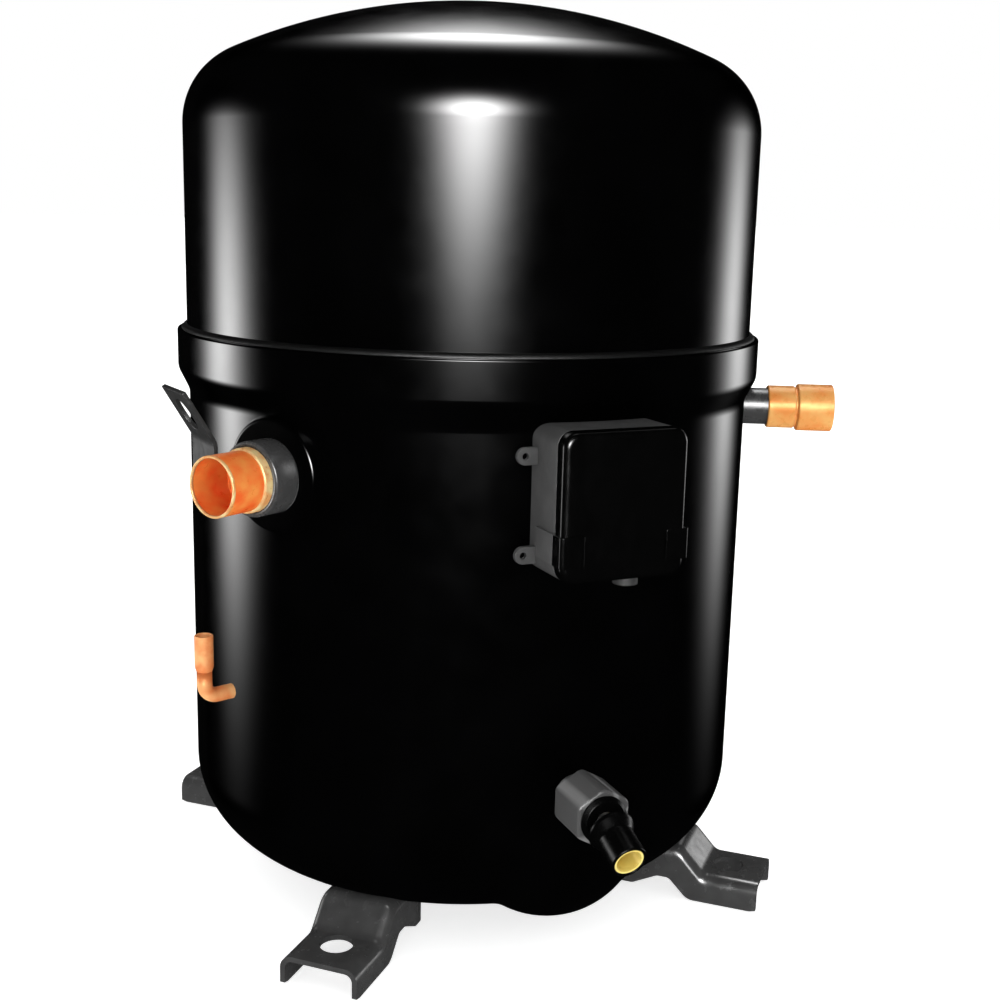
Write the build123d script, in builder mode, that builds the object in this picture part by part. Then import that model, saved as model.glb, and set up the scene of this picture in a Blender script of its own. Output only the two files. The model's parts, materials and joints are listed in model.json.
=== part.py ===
"""Hermetic scroll compressor: a two-piece welded shell on four feet with a scroll pump inside.

The frame has its origin on the shell's axis, in the plane of the feet's bolting faces.
+Z is up along the shell. The terminal box faces -Y.
"""
from build123d import *
import os
from math import asin, atan2, cos, pi, radians, sin, sqrt, tan

os.makedirs("parts", exist_ok=True)

# ---- Shell: the driving sizes -------------------------------------------------------------
shell_radius = 127.0
shell_wall = 4.0
bell_growth = 4.75
bowl_tangent_z = 45.4
bowl_knuckle = 40.0
bowl_crown = 400.0
taper_low_z = 217.2
taper_top_z = 227.0
bell_top_z = 243.9
bell_edge_round = 1.2
dome_tangent_z = 331.2
dome_knuckle = 34.2
dome_crown = 259.7
slip_gap = 0.15
bell_radius = shell_radius + bell_growth
bell_bore = bell_radius - shell_wall
upper_radius = bell_bore - slip_gap
lower_bore = shell_radius - shell_wall
upper_bore = upper_radius - shell_wall
weld_size = 2.4
weld_crown = 0.7

# Pressed pocket that widens the sump at the front of the bowl
front_azimuth = -2.0
pocket_azimuth = 2.4
pocket_offset = 86.0
pocket_z = 39.0
pocket_radius = 43.2

# ---- Feet ---------------------------------------------------------------------------------
bolt_spacing = 190.5
foot_hole_radius = 7.0
foot_sheet = 2.2
foot_width = 34.5
foot_tip = 151.0
foot_root = 88.0
foot_flange = 12.7
foot_bend = 5.5
joggle_rise = 11.8
joggle_low = 126.0
joggle_high = 115.0
joggle_round = 7.0
hem_low = 119.5
hem_high = 110.5
hem_waist = 105.0
hem_waist_z = -1.5
lobe_start = 93.5
lobe_z = -7.2
lobe_round = 3.0
edge_reach = 0.01
upward = 0.3
bolt_circle = bolt_spacing / sqrt(2)
foot_azimuths = {"front_right": 45.0, "rear_right": 135.0, "rear_left": 225.0, "front_left": 315.0}

# ---- Line fittings on the shell -----------------------------------------------------------
suction_azimuth = -60.0
suction_z = 193.3
suction_boss_radius = 20.0
suction_boss_face = 130.0
suction_boss_taper = 18.0
boss_cover = 0.5
suction_collar_radius = 15.0
suction_collar_end = 141.5
suction_tube_radius = 12.05
suction_socket = 11.15
suction_rim_radius = 12.9
suction_rim_end = 145.5
suction_tube_end = 161.3
suction_socket_depth = 19.0
suction_stop = 1.5
discharge_azimuth = 62.0
discharge_z = 212.0
discharge_stub_radius = 8.3
discharge_stub_end = 138.0
discharge_lap_end = 146.0
discharge_neck_radius = 9.65
discharge_neck_end = 150.2
discharge_tube_radius = 10.67
discharge_socket = 9.6
discharge_tube_end = 167.6
discharge_bore = 6.4
discharge_groove = 1.2
discharge_shoulder = 1.5
fitting_depth = 2.0
process_azimuth = -74.2
process_z = 94.6
process_radius = 3.2
process_bore = 2.2
process_stand_off = 139.8
process_elbow = 5.6
process_swage_z = 106.0
process_swage_radius = 3.95
process_top_z = 121.7

# ---- Lifting lug --------------------------------------------------------------------------
lug_azimuth = -83.5
lug_width = 27.0
lug_sheet = 2.6
lug_low_z = 172.0
lug_bend_z = 201.0
lug_lean = 31.0
lug_length = 26.0
lug_slot_length = 15.0
lug_slot_width = 12.0
lug_slot_inset = 13.5
lug_corner = 3.0
lug_contact = 0.8

# ---- Oil fitting at the sump --------------------------------------------------------------
oil_z = 66.9
oil_hex = 22.2
oil_hex_end = 153.7
oil_bore = 4.0
oil_collar_radius = 8.3
oil_collar_length = 2.0
outlet_tilt = 20.0
outlet_radius = 7.3
outlet_bore = 4.4
outlet_length = 22.0
sleeve_radius = 6.1
sleeve_bore = 5.1
sleeve_length = 12.0
sleeve_inset = 0.4

# ---- Terminal and its box -----------------------------------------------------------------
terminal_z = 191.0
terminal_pad_radius = 24.0
terminal_pad_face = 128.5
terminal_cup_radius = 17.0
terminal_flange_radius = 20.5
terminal_sheet = 2.0
terminal_depth = 9.0
glass_radius = 4.0
pin_radius = 1.6
pin_circle = 9.0
pin_count = 3
top_angle = 90.0
pin_reach = 9.0
box_width = 52.8
box_height = 57.6
box_front = 145.0
box_wall_root = 110.0
box_wall = 2.2
box_corner = 6.0
cover_lip = 1.3
cover_lip_depth = 4.5
cover_front = 151.8
cover_gap = 0.3
cover_edge_round = 2.6
ear_radius = 3.4
ear_hole = 1.1
ear_reach = 5.0
ear_sheet = 2.0
ear_heights = (169.1, 207.7)
clip_width = 12.0
clip_gap = 0.1
clip_root = 131.0
clip_sheet = 1.0
clip_z = 175.0
clip_reach = 9.0
grommet_x = 10.5
grommet_y = -134.6
grommet_radius = 5.0
grommet_bore = 3.2
grommet_flange = 5.7
grommet_lip = 2.0
grommet_drop = 6.0

# ---- Scroll set: involutes of one base circle ---------------------------------------------
scroll_pitch = 20.0
wrap_thickness = 4.5
wrap_height = 30.0
flank_gap = 0.15
tip_gap = 0.1
wrap_start = 3.6
wrap_end = 19.6
wrap_steps = 60
base_circle = scroll_pitch / (2 * pi)
orbit_radius = scroll_pitch / 2 - wrap_thickness - flank_gap
orbit_base = 10.0
orbit_plate_radius = 87.0
port_radius = 5.0
head_ratio = 1.7
socket_ratio = 0.95

# ---- Main frame ---------------------------------------------------------------------------
frame_seat_z = 224.0
frame_rim = 8.0
frame_floor_z = 240.0
frame_hub_radius = 28.0
frame_hub_low_z = 196.0
recess_radius = 31.0
thrust_ring_radius = 52.0
thrust_z = 252.0
ring_wall_inner = 94.0
ring_wall_outer = 108.0
thrust_gap = 0.05
window_width = 28.0
window_sill = 4.0
rim_hole_radius = 5.0
rim_hole_count = 8
scroll_bolt_circle = 101.0
scroll_bolt_radius = 3.0
scroll_bolt_count = 6
scroll_bolt_turn = 30.0
bolt_clearance = 0.3
bolt_grip = 12.0
scroll_plate = 12.0
scroll_wall_inner = 74.0

# ---- Oldham coupling ----------------------------------------------------------------------
oldham_inner = 58.0
oldham_outer = 76.0
oldham_top_gap = 1.0
oldham_key_width = 8.0
oldham_key_length = 13.0
oldham_key_depth = 4.5
key_gap = 0.05
key_end_gap = 0.6
key_slot_depth = 5.5

# ---- Motor --------------------------------------------------------------------------------
stator_radius = 100.0
stator_bore = 54.5
stator_low_z = 95.0
stator_top_z = 185.0
slot_count = 24
slot_root = 82.0
slot_mouth = 57.5
slot_width = 8.0
slot_opening = 2.6
slot_liner = 0.3
stator_bolt_circle = 91.5
corner_angle = 45.0
stator_bolt_radius = 3.0
stator_bolt_grip = 18.0
leg_radius = 7.5
air_gap = 0.5
rotor_radius = stator_bore - air_gap
rotor_bore = 15.0
cage_bar_count = 30
cage_bar_radius = 2.2
cage_bar_circle = 48.5
cage_ring_inner = 33.0
cage_ring_height = 6.0
end_turn_height = 20.0
end_turn_inner = 58.5
end_turn_round = 5.0

# ---- Crankshaft and bearings --------------------------------------------------------------
main_journal = 17.5
lower_journal = 11.0
crank_pin = 8.0
bush_wall = 3.0
running_gap = 0.03
crank_low_z = 46.0
journal_step_z = 78.0
crank_top_z = frame_floor_z
pin_top_z = 256.5
drive_bush_radius = 16.0
bush_end_gap = 0.5
hub_wall = 4.5
weight_inner = 34.0
weight_outer = 52.0
weight_height = 16.0
weight_arc = 150.0
bracket_drop = 33.0
bracket_plate = 8.0
bracket_hub_radius = 20.0
bracket_arm_width = 15.0
pickup_radius = 8.0
pickup_bore = 5.0
pickup_low_z = 14.0
thrust_washer = 2.0
oil_gallery = 2.5

# ---- Discharge side -----------------------------------------------------------------------
valve_radius = 8.5
valve_thickness = 1.2
valve_lift = 2.5
stop_radius = 13.0
stop_wall = 2.0
stop_plate = 3.0
stop_slot = 9.0
stop_vent = 4.0
muffler_radius = 62.0
muffler_wall = 2.5
muffler_height = 30.0
muffler_round = 8.0
muffler_flange_radius = 71.0
muffler_bolt_circle = 66.7
muffler_bolt_radius = 2.0
muffler_bolt_count = 8
muffler_bolt_grip = 8.0
pipe_radius = 6.35
pipe_bore = 5.35
pipe_bend = 13.0
pipe_drop_azimuth = 84.0
pipe_drop_radius = 116.0
pipe_turn_radius = 97.0
pipe_start_radius = 58.5
pipe_height = 15.0
pipe_hole_gap = 0.4
lead_radius = 1.4
lead_dip = 5.6

# ---- Heights that follow ------------------------------------------------------------------
plate_low_z = thrust_z + thrust_gap
wrap_low_z = plate_low_z + orbit_base
fixed_plate_z = wrap_low_z + wrap_height + tip_gap
fixed_top_z = fixed_plate_z + scroll_plate
ring_top_z = wrap_low_z + tip_gap
valve_stop_z = fixed_top_z + valve_thickness + valve_lift


def finish(piece, name):
    """Label one finished piece and write it as its own STEP file."""
    piece.part.label = name
    export_step(piece.part, f"parts/{name}.step")


def outward(azimuth):
    """Unit vector away from the axis; azimuth 0 is -Y and it grows towards +X."""
    return Vector(sin(radians(azimuth)), -cos(radians(azimuth)), 0)


def wall_plane(azimuth, distance, height, tangent_shift=0.0):
    """A plane that faces outward, with its x along the wall and its y up."""
    tangent = Vector(cos(radians(azimuth)), sin(radians(azimuth)), 0)
    origin = outward(azimuth) * distance + tangent * tangent_shift + Vector(0, 0, height)
    return Plane(origin=origin, x_dir=tangent, z_dir=outward(azimuth))


def side_plane(azimuth):
    """The upright plane through the axis at an azimuth, with its x outward and its y up."""
    normal = Vector(0, 0, 1).cross(outward(azimuth)) * -1
    return Plane(origin=(0, 0, 0), x_dir=outward(azimuth), z_dir=normal)


def head_curve(radius, knuckle, crown, tangent_z, side):
    """Draw half of a dished head: a crown arc from the axis, then a knuckle arc to the wall."""
    crown_z = tangent_z - side * sqrt((crown - knuckle) ** 2 - (radius - knuckle) ** 2)
    meet = asin((radius - knuckle) / (crown - knuckle))

    def on_crown(angle):
        return (crown * sin(angle), crown_z + side * crown * cos(angle))

    def on_knuckle(angle):
        return (radius - knuckle + knuckle * sin(angle), tangent_z + side * knuckle * cos(angle))

    ThreePointArc(on_crown(0), on_crown(meet / 2), on_crown(meet))
    ThreePointArc(on_crown(meet), on_knuckle((meet + pi / 2) / 2), on_knuckle(pi / 2))
    return on_crown(0)


def bowl_inside():
    """Draw half of the bowl's inner face and give the point where it meets the axis."""
    return head_curve(
        lower_bore, bowl_knuckle - shell_wall, bowl_crown - shell_wall, bowl_tangent_z, -1
    )


def shell_outline():
    """Draw half of the lower shell's outside as a closed outline, bowl, wall and bell."""
    apex = head_curve(shell_radius, bowl_knuckle, bowl_crown, bowl_tangent_z, -1)
    Polyline(
        (shell_radius, bowl_tangent_z),
        (shell_radius, taper_low_z),
        (bell_radius, taper_top_z),
        (bell_radius, bell_top_z),
        (0, bell_top_z),
        apex,
    )


def ring_sketch(outer, inner):
    """Draw an annulus in the current sketch."""
    Circle(outer)
    Circle(inner, mode=Mode.SUBTRACT)


# ---- Shell --------------------------------------------------------------------------------
with BuildPart() as lower_shell:
    with BuildSketch(Plane.XZ):
        with BuildLine():
            outer_apex = head_curve(shell_radius, bowl_knuckle, bowl_crown, bowl_tangent_z, -1)
            Polyline(
                (shell_radius, bowl_tangent_z),
                (shell_radius, taper_low_z),
                (bell_radius, taper_top_z),
                (bell_radius, bell_top_z),
                (bell_bore, bell_top_z),
                (bell_bore, frame_seat_z),
                (lower_bore, frame_seat_z),
                (lower_bore, bowl_tangent_z),
            )
            Line(outer_apex, bowl_inside())
        make_face()
    revolve(axis=Axis.Z)
    rim_edges = lower_shell.edges().filter_by(GeomType.CIRCLE).group_by(Axis.Z)[-1]
    fillet(rim_edges.sort_by(SortBy.RADIUS)[-1], radius=bell_edge_round)
    pocket_center = outward(pocket_azimuth) * pocket_offset + Vector(0, 0, pocket_z)
    with Locations(pocket_center):
        Sphere(pocket_radius)
    with Locations(pocket_center):
        Sphere(pocket_radius - shell_wall, mode=Mode.SUBTRACT)
    with BuildSketch(Plane.XZ):
        with BuildLine():
            apex = bowl_inside()
            Polyline(
                (lower_bore, bowl_tangent_z),
                (lower_bore, taper_low_z),
                (0, taper_low_z),
                apex,
            )
        make_face()
    revolve(axis=Axis.Z, mode=Mode.SUBTRACT)
    boss_root = shell_radius - shell_wall + boss_cover
    with BuildSketch(wall_plane(suction_azimuth, boss_root, suction_z)):
        Circle(suction_boss_radius)
    extrude(amount=suction_boss_face - boss_root, taper=suction_boss_taper)
    with BuildSketch(wall_plane(0, boss_root, terminal_z)):
        Circle(terminal_pad_radius)
    extrude(amount=terminal_pad_face - boss_root)
    hole_depth = shell_wall * 4
    holes = (
        (suction_azimuth, suction_z, suction_collar_radius),
        (discharge_azimuth, discharge_z, discharge_stub_radius),
        (process_azimuth, process_z, process_radius),
        (front_azimuth, oil_z, oil_collar_radius),
        (0, terminal_z, terminal_cup_radius),
    )
    for azimuth, height, radius in holes:
        with BuildSketch(wall_plane(azimuth, shell_radius, height)):
            Circle(radius)
        extrude(amount=hole_depth, both=True, mode=Mode.SUBTRACT)
finish(lower_shell, "lower_shell")

with BuildPart() as upper_shell:
    with BuildSketch(Plane.XZ):
        with BuildLine():
            outer_apex = head_curve(upper_radius, dome_knuckle, dome_crown, dome_tangent_z, 1)
            Polyline(
                (upper_radius, dome_tangent_z),
                (upper_radius, frame_seat_z + frame_rim),
                (upper_bore, frame_seat_z + frame_rim),
                (upper_bore, dome_tangent_z),
            )
            inner_apex = head_curve(
                upper_bore, dome_knuckle - shell_wall, dome_crown - shell_wall, dome_tangent_z, 1
            )
            Line(outer_apex, inner_apex)
        make_face()
    revolve(axis=Axis.Z)
finish(upper_shell, "upper_shell")

with BuildPart() as girth_weld:
    with BuildSketch(Plane.XZ):
        with BuildLine():
            Polyline((upper_radius, bell_top_z), (upper_radius, bell_top_z + weld_size))
            ThreePointArc(
                (upper_radius, bell_top_z + weld_size),
                (upper_radius + weld_size * weld_crown, bell_top_z + weld_size * weld_crown),
                (upper_radius + weld_size, bell_top_z),
            )
            Line((upper_radius + weld_size, bell_top_z), (upper_radius, bell_top_z))
        make_face()
    revolve(axis=Axis.Z)
finish(girth_weld, "girth_weld")


# ---- Feet ---------------------------------------------------------------------------------
def joggled_block(side, inset, bottom, rounds):
    """A block under the joggled top face, `inset` within the foot's outer faces all round."""
    slope = atan2(joggle_rise, joggle_low - joggle_high)
    shift = inset * tan(slope / 2)
    top_z = foot_sheet - inset
    top = [
        (bottom[-1][0], top_z + joggle_rise),
        (joggle_high - shift, top_z + joggle_rise),
        (joggle_low - shift, top_z),
        (bottom[0][0], top_z),
    ]
    top_rounds = (0, joggle_round - inset, joggle_round + inset, 0)
    with BuildPart() as block:
        with BuildSketch(side):
            with BuildLine():
                FilletPolyline(*top, *bottom, radius=(*top_rounds, *rounds), close=True)
            make_face()
        extrude(amount=foot_width / 2 - inset, both=True)
        top_faces = block.faces().filter_by(lambda face: face.normal_at().Z > upward)
        long_edges = top_faces.edges().filter_by(
            lambda edge: abs(edge.center().dot(side.z_dir)) > foot_width / 2 - inset - edge_reach
        )
        fillet(long_edges, radius=foot_bend - inset)
    return block.part


def make_foot(azimuth):
    """One foot: a joggled channel, its inner end cut to the bowl that it is welded to."""
    side = side_plane(azimuth)
    hem_z = foot_sheet - foot_flange
    hem = [
        (foot_tip, hem_z),
        (hem_low, hem_z),
        (hem_high, hem_waist_z),
        (hem_waist, hem_waist_z),
        (lobe_start, lobe_z),
        (foot_root, lobe_z),
    ]
    hem_rounds = (lobe_round / 2, joggle_round, joggle_round / 2, lobe_round, lobe_round, lobe_round)
    below = [(foot_tip + foot_sheet, 2 * hem_z), (foot_root - foot_sheet, 2 * hem_z)]
    with BuildPart() as foot:
        add(joggled_block(side, 0, hem, hem_rounds))
        add(joggled_block(side, foot_sheet, below, (0, 0)), mode=Mode.SUBTRACT)
        with BuildSketch(Plane(outward(azimuth) * bolt_circle)):
            Circle(foot_hole_radius)
        extrude(amount=foot_sheet * 2, both=True, mode=Mode.SUBTRACT)
        with BuildSketch(Plane.XZ):
            with BuildLine():
                shell_outline()
            make_face()
        revolve(axis=Axis.Z, mode=Mode.SUBTRACT)
    return foot


for corner, azimuth in foot_azimuths.items():
    finish(make_foot(azimuth), f"foot_{corner}")


# ---- Line fittings ------------------------------------------------------------------------
def stepped_tube(azimuth, height, steps):
    """A straight tube out of the wall, from steps of (start, end, outer radius, bore)."""
    with BuildPart() as tube:
        for start, end, outer, bore in steps:
            with BuildSketch(wall_plane(azimuth, start, height)):
                Circle(outer)
            extrude(amount=end - start)
        for start, end, outer, bore in steps:
            with BuildSketch(wall_plane(azimuth, start, height)):
                Circle(bore)
            extrude(amount=end - start, mode=Mode.SUBTRACT)
    return tube


fitting_root = shell_radius - shell_wall - fitting_depth
finish(
    stepped_tube(
        suction_azimuth,
        suction_z,
        [(fitting_root, suction_collar_end, suction_collar_radius, suction_tube_radius)],
    ),
    "suction_collar",
)

socket_floor = suction_tube_end - suction_socket_depth
suction_stop_bore = suction_socket - suction_stop
suction_tube = stepped_tube(
    suction_azimuth,
    suction_z,
    [
        (fitting_root, suction_collar_end, suction_tube_radius, suction_stop_bore),
        (suction_collar_end, socket_floor, suction_rim_radius, suction_stop_bore),
        (socket_floor, suction_rim_end, suction_rim_radius, suction_socket),
        (suction_rim_end, suction_tube_end, suction_tube_radius, suction_socket),
    ],
)
finish(suction_tube, "suction_tube")

discharge_stub = stepped_tube(
    discharge_azimuth,
    discharge_z,
    [
        (fitting_root, shell_radius, discharge_stub_radius, pipe_radius + running_gap),
        (shell_radius, discharge_lap_end, discharge_stub_radius, discharge_bore),
    ],
)
finish(discharge_stub, "discharge_stub")

groove_end = discharge_neck_end + discharge_groove
discharge_socket_floor = groove_end + discharge_shoulder
discharge_tube = stepped_tube(
    discharge_azimuth,
    discharge_z,
    [
        (discharge_stub_end, discharge_lap_end, discharge_neck_radius, discharge_stub_radius),
        (discharge_lap_end, discharge_neck_end, discharge_neck_radius, discharge_bore),
        (discharge_neck_end, groove_end, discharge_neck_radius - discharge_groove / 2, discharge_bore),
        (groove_end, discharge_socket_floor, discharge_tube_radius, discharge_bore),
        (discharge_socket_floor, discharge_tube_end, discharge_tube_radius, discharge_socket),
    ],
)
finish(discharge_tube, "discharge_tube")

with BuildPart() as process_tube:
    with BuildLine(side_plane(process_azimuth)) as process_route:
        FilletPolyline(
            (fitting_root, process_z),
            (process_stand_off, process_z),
            (process_stand_off, process_swage_z),
            radius=process_elbow,
        )
    with BuildSketch(Plane(origin=process_route.line @ 0, z_dir=process_route.line % 0)):
        ring_sketch(process_radius, process_bore)
    sweep()
    swage_plane = Plane(outward(process_azimuth) * process_stand_off + Vector(0, 0, process_swage_z))
    with BuildSketch(swage_plane):
        ring_sketch(process_swage_radius, process_bore)
    extrude(amount=process_swage_radius - process_bore)
    with BuildSketch(swage_plane.offset(process_swage_radius - process_bore)):
        ring_sketch(process_swage_radius, process_radius)
    extrude(amount=process_top_z - process_swage_z - process_swage_radius + process_bore)
finish(process_tube, "process_tube")

# ---- Lifting lug --------------------------------------------------------------------------
lean_sine = sin(radians(lug_lean))
lean_cosine = cos(radians(lug_lean))
lug_inner = shell_radius - lug_contact
lug_tip = (lug_inner + lug_length * lean_sine, lug_bend_z + lug_length * lean_cosine)
lug_normal = outward(lug_azimuth) * lean_cosine - Vector(0, 0, lean_sine)
slot_distance = lug_length - lug_slot_inset
slot_center = outward(lug_azimuth) * (lug_inner + slot_distance * lean_sine)
slot_center += Vector(0, 0, lug_bend_z + slot_distance * lean_cosine)

with BuildPart() as lifting_lug:
    with BuildSketch(side_plane(lug_azimuth)):
        with BuildLine():
            Polyline(
                (lug_inner, lug_low_z),
                (lug_inner, lug_bend_z),
                lug_tip,
                (lug_tip[0] + lug_sheet * lean_cosine, lug_tip[1] - lug_sheet * lean_sine),
                (lug_inner + lug_sheet, lug_bend_z - lug_sheet * tan(radians(lug_lean / 2))),
                (lug_inner + lug_sheet, lug_low_z),
                close=True,
            )
        make_face()
    extrude(amount=lug_width / 2, both=True)
    tip_edges = lifting_lug.edges().filter_by(
        lambda edge: abs((edge % 0.5).dot(lug_normal)) > 0.99 and edge.center().Z > lug_bend_z
    )
    fillet(tip_edges, radius=lug_corner)
    slot_across = wall_plane(lug_azimuth, 0, 0).x_dir
    with BuildSketch(Plane(origin=slot_center, x_dir=slot_across, z_dir=lug_normal)):
        SlotOverall(lug_slot_length, lug_slot_width, rotation=90)
    extrude(amount=lug_sheet * 2, both=True, mode=Mode.SUBTRACT)
    with BuildSketch(Plane.XZ):
        with BuildLine():
            shell_outline()
        make_face()
    revolve(axis=Axis.Z, mode=Mode.SUBTRACT)
finish(lifting_lug, "lifting_lug")

# ---- Oil fitting --------------------------------------------------------------------------
oil_collar_end = oil_hex_end + oil_collar_length
with BuildPart() as oil_fitting:
    with BuildSketch(wall_plane(front_azimuth, lower_bore, oil_z)):
        RegularPolygon(oil_hex / 2, 6, major_radius=False, rotation=30)
    extrude(amount=oil_hex_end - lower_bore)
    with BuildSketch(Plane.XZ):
        with BuildLine():
            shell_outline()
        make_face()
    revolve(axis=Axis.Z, mode=Mode.SUBTRACT)
    with BuildSketch(wall_plane(front_azimuth, fitting_root, oil_z)):
        Circle(oil_collar_radius)
    extrude(amount=oil_collar_end - fitting_root)
    with BuildSketch(wall_plane(front_azimuth, fitting_root, oil_z)):
        Circle(oil_bore)
    extrude(amount=oil_collar_end - fitting_root, mode=Mode.SUBTRACT)
finish(oil_fitting, "oil_fitting")

outlet_face = wall_plane(front_azimuth, oil_collar_end, oil_z)
outlet_axis = outward(front_azimuth) * cos(radians(outlet_tilt)) - Vector(0, 0, sin(radians(outlet_tilt)))
outlet_plane = Plane(origin=outlet_face.origin, x_dir=outlet_face.x_dir, z_dir=outlet_axis)
with BuildPart() as oil_outlet:
    with BuildSketch(outlet_plane.offset(-outlet_radius)):
        Circle(outlet_radius)
    extrude(amount=outlet_length + outlet_radius)
    with BuildSketch(outlet_face):
        Circle(outlet_length)
    extrude(amount=-outlet_length, mode=Mode.SUBTRACT)
    with BuildSketch(outlet_plane.offset(outlet_length - sleeve_length)):
        Circle(sleeve_radius)
    extrude(amount=sleeve_length, mode=Mode.SUBTRACT)
    with BuildSketch(outlet_plane.offset(outlet_radius)):
        Circle(outlet_bore)
    extrude(amount=outlet_length, mode=Mode.SUBTRACT)
finish(oil_outlet, "oil_outlet")

with BuildPart() as outlet_sleeve:
    with BuildSketch(outlet_plane.offset(outlet_length - sleeve_length)):
        ring_sketch(sleeve_radius, sleeve_bore)
    extrude(amount=sleeve_length - sleeve_inset)
finish(outlet_sleeve, "outlet_sleeve")

# ---- Terminal -----------------------------------------------------------------------------
cup_root = terminal_pad_face - terminal_depth
pin_start = cup_root - pin_reach
pin_end = cup_root + terminal_sheet + pin_reach
with BuildPart() as terminal_cup:
    with BuildSketch(wall_plane(0, cup_root, terminal_z)):
        Circle(terminal_cup_radius)
    extrude(amount=terminal_depth)
    with BuildSketch(wall_plane(0, terminal_pad_face, terminal_z)):
        Circle(terminal_flange_radius)
    extrude(amount=terminal_sheet)
    with BuildSketch(wall_plane(0, cup_root + terminal_sheet, terminal_z)):
        Circle(terminal_cup_radius - terminal_sheet)
    extrude(amount=terminal_depth, mode=Mode.SUBTRACT)
    with BuildSketch(wall_plane(0, cup_root, terminal_z)):
        with PolarLocations(pin_circle, pin_count, start_angle=top_angle):
            Circle(glass_radius)
    extrude(amount=terminal_sheet, mode=Mode.SUBTRACT)
finish(terminal_cup, "terminal_cup")

with BuildPart() as terminal_glass:
    with BuildSketch(wall_plane(0, cup_root, terminal_z)):
        with PolarLocations(pin_circle, pin_count, start_angle=top_angle):
            ring_sketch(glass_radius, pin_radius)
    extrude(amount=terminal_sheet)
finish(terminal_glass, "terminal_glass")

with BuildPart() as terminal_pins:
    with BuildSketch(wall_plane(0, pin_start, terminal_z)):
        with PolarLocations(pin_circle, pin_count, start_angle=top_angle):
            Circle(pin_radius)
    extrude(amount=pin_end - pin_start)
finish(terminal_pins, "terminal_pins")

# ---- Terminal box, cover and clips --------------------------------------------------------
inner_width = box_width - 2 * box_wall
inner_height = box_height - 2 * box_wall
inner_corner = box_corner - box_wall
box_low_z = terminal_z - box_height / 2

with BuildPart() as terminal_box:
    with BuildSketch(wall_plane(0, box_wall_root, terminal_z)):
        RectangleRounded(box_width, box_height, box_corner)
        RectangleRounded(inner_width, inner_height, inner_corner, mode=Mode.SUBTRACT)
    extrude(amount=box_front - box_wall_root)
    ear_x = -(box_width / 2 + ear_reach)
    for ear_z in ear_heights:
        with BuildSketch(wall_plane(0, shell_radius, 0)):
            with Locations((ear_x, ear_z)):
                Circle(ear_radius)
            with Locations((ear_x + ear_reach / 2, ear_z)):
                Rectangle(ear_reach + box_wall, ear_radius * 2)
            with Locations((ear_x, ear_z)):
                Circle(ear_hole, mode=Mode.SUBTRACT)
        extrude(amount=ear_sheet)
    with BuildSketch(Plane.XY.offset(box_low_z)):
        with Locations((grommet_x, grommet_y)):
            Circle(grommet_radius)
    extrude(amount=box_wall, mode=Mode.SUBTRACT)
    with BuildSketch(Plane.XZ):
        with BuildLine():
            shell_outline()
        make_face()
    revolve(axis=Axis.Z, mode=Mode.SUBTRACT)
finish(terminal_box, "terminal_box")

with BuildPart() as terminal_cover:
    with BuildSketch(wall_plane(0, box_front, terminal_z)):
        RectangleRounded(box_width, box_height, box_corner)
    extrude(amount=cover_front - box_front)
    fillet(terminal_cover.faces().sort_by(Axis.Y)[0].edges(), radius=cover_edge_round)
    with BuildSketch(wall_plane(0, box_front, terminal_z)):
        RectangleRounded(inner_width, inner_height, inner_corner)
    extrude(amount=cover_front - box_front - box_wall, mode=Mode.SUBTRACT)
    with BuildSketch(wall_plane(0, box_front - cover_lip_depth, terminal_z)):
        lip_width = inner_width - 2 * cover_gap
        lip_height = inner_height - 2 * cover_gap
        lip_corner = inner_corner - cover_gap
        RectangleRounded(lip_width, lip_height, lip_corner)
        RectangleRounded(
            lip_width - 2 * cover_lip, lip_height - 2 * cover_lip, lip_corner - cover_lip,
            mode=Mode.SUBTRACT,
        )
    extrude(amount=cover_front - box_front - box_wall + cover_lip_depth)
    with BuildSketch(wall_plane(0, box_front, terminal_z)):
        RectangleRounded(inner_width, inner_height, inner_corner)
        RectangleRounded(lip_width, lip_height, lip_corner, mode=Mode.SUBTRACT)
    extrude(amount=cover_front - box_front - box_wall)
finish(terminal_cover, "terminal_cover")

with BuildPart() as cover_clips:
    for side in (-1, 1):
        clip_side = side * (box_width / 2 + clip_gap)
        with BuildSketch(Plane.XY.offset(clip_z - clip_width / 2)):
            with BuildLine():
                Polyline(
                    (clip_side, -clip_root),
                    (clip_side, -cover_front),
                    (clip_side - side * clip_reach, -cover_front),
                    (clip_side - side * clip_reach, -cover_front - clip_sheet),
                    (clip_side + side * clip_sheet, -cover_front - clip_sheet),
                    (clip_side + side * clip_sheet, -clip_root),
                    close=True,
                )
            make_face()
        extrude(amount=clip_width)
finish(cover_clips, "cover_clips")

with BuildPart() as cable_grommet:
    grommet_steps = (
        (box_low_z - grommet_drop, grommet_drop - grommet_lip, grommet_radius),
        (box_low_z - grommet_lip, grommet_lip, grommet_flange),
        (box_low_z, box_wall, grommet_radius),
        (box_low_z + box_wall, grommet_lip, grommet_flange),
    )
    for start, height, radius in grommet_steps:
        with BuildSketch(Plane((grommet_x, grommet_y, start))):
            Circle(radius)
        extrude(amount=height)
    with BuildSketch(Plane((grommet_x, grommet_y, box_low_z - grommet_drop))):
        Circle(grommet_bore)
    extrude(amount=grommet_drop + box_wall + grommet_lip, mode=Mode.SUBTRACT)
finish(cable_grommet, "cable_grommet")


# ---- Scroll wraps -------------------------------------------------------------------------
def involute(angle, shift, turn):
    """A point on the base circle's involute; `turn` is 1, or -1 for the opposite wrap."""
    unwound = angle - shift
    x = base_circle * (cos(angle) + unwound * sin(angle))
    y = base_circle * (sin(angle) - unwound * cos(angle))
    return (turn * x, turn * y)


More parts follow.
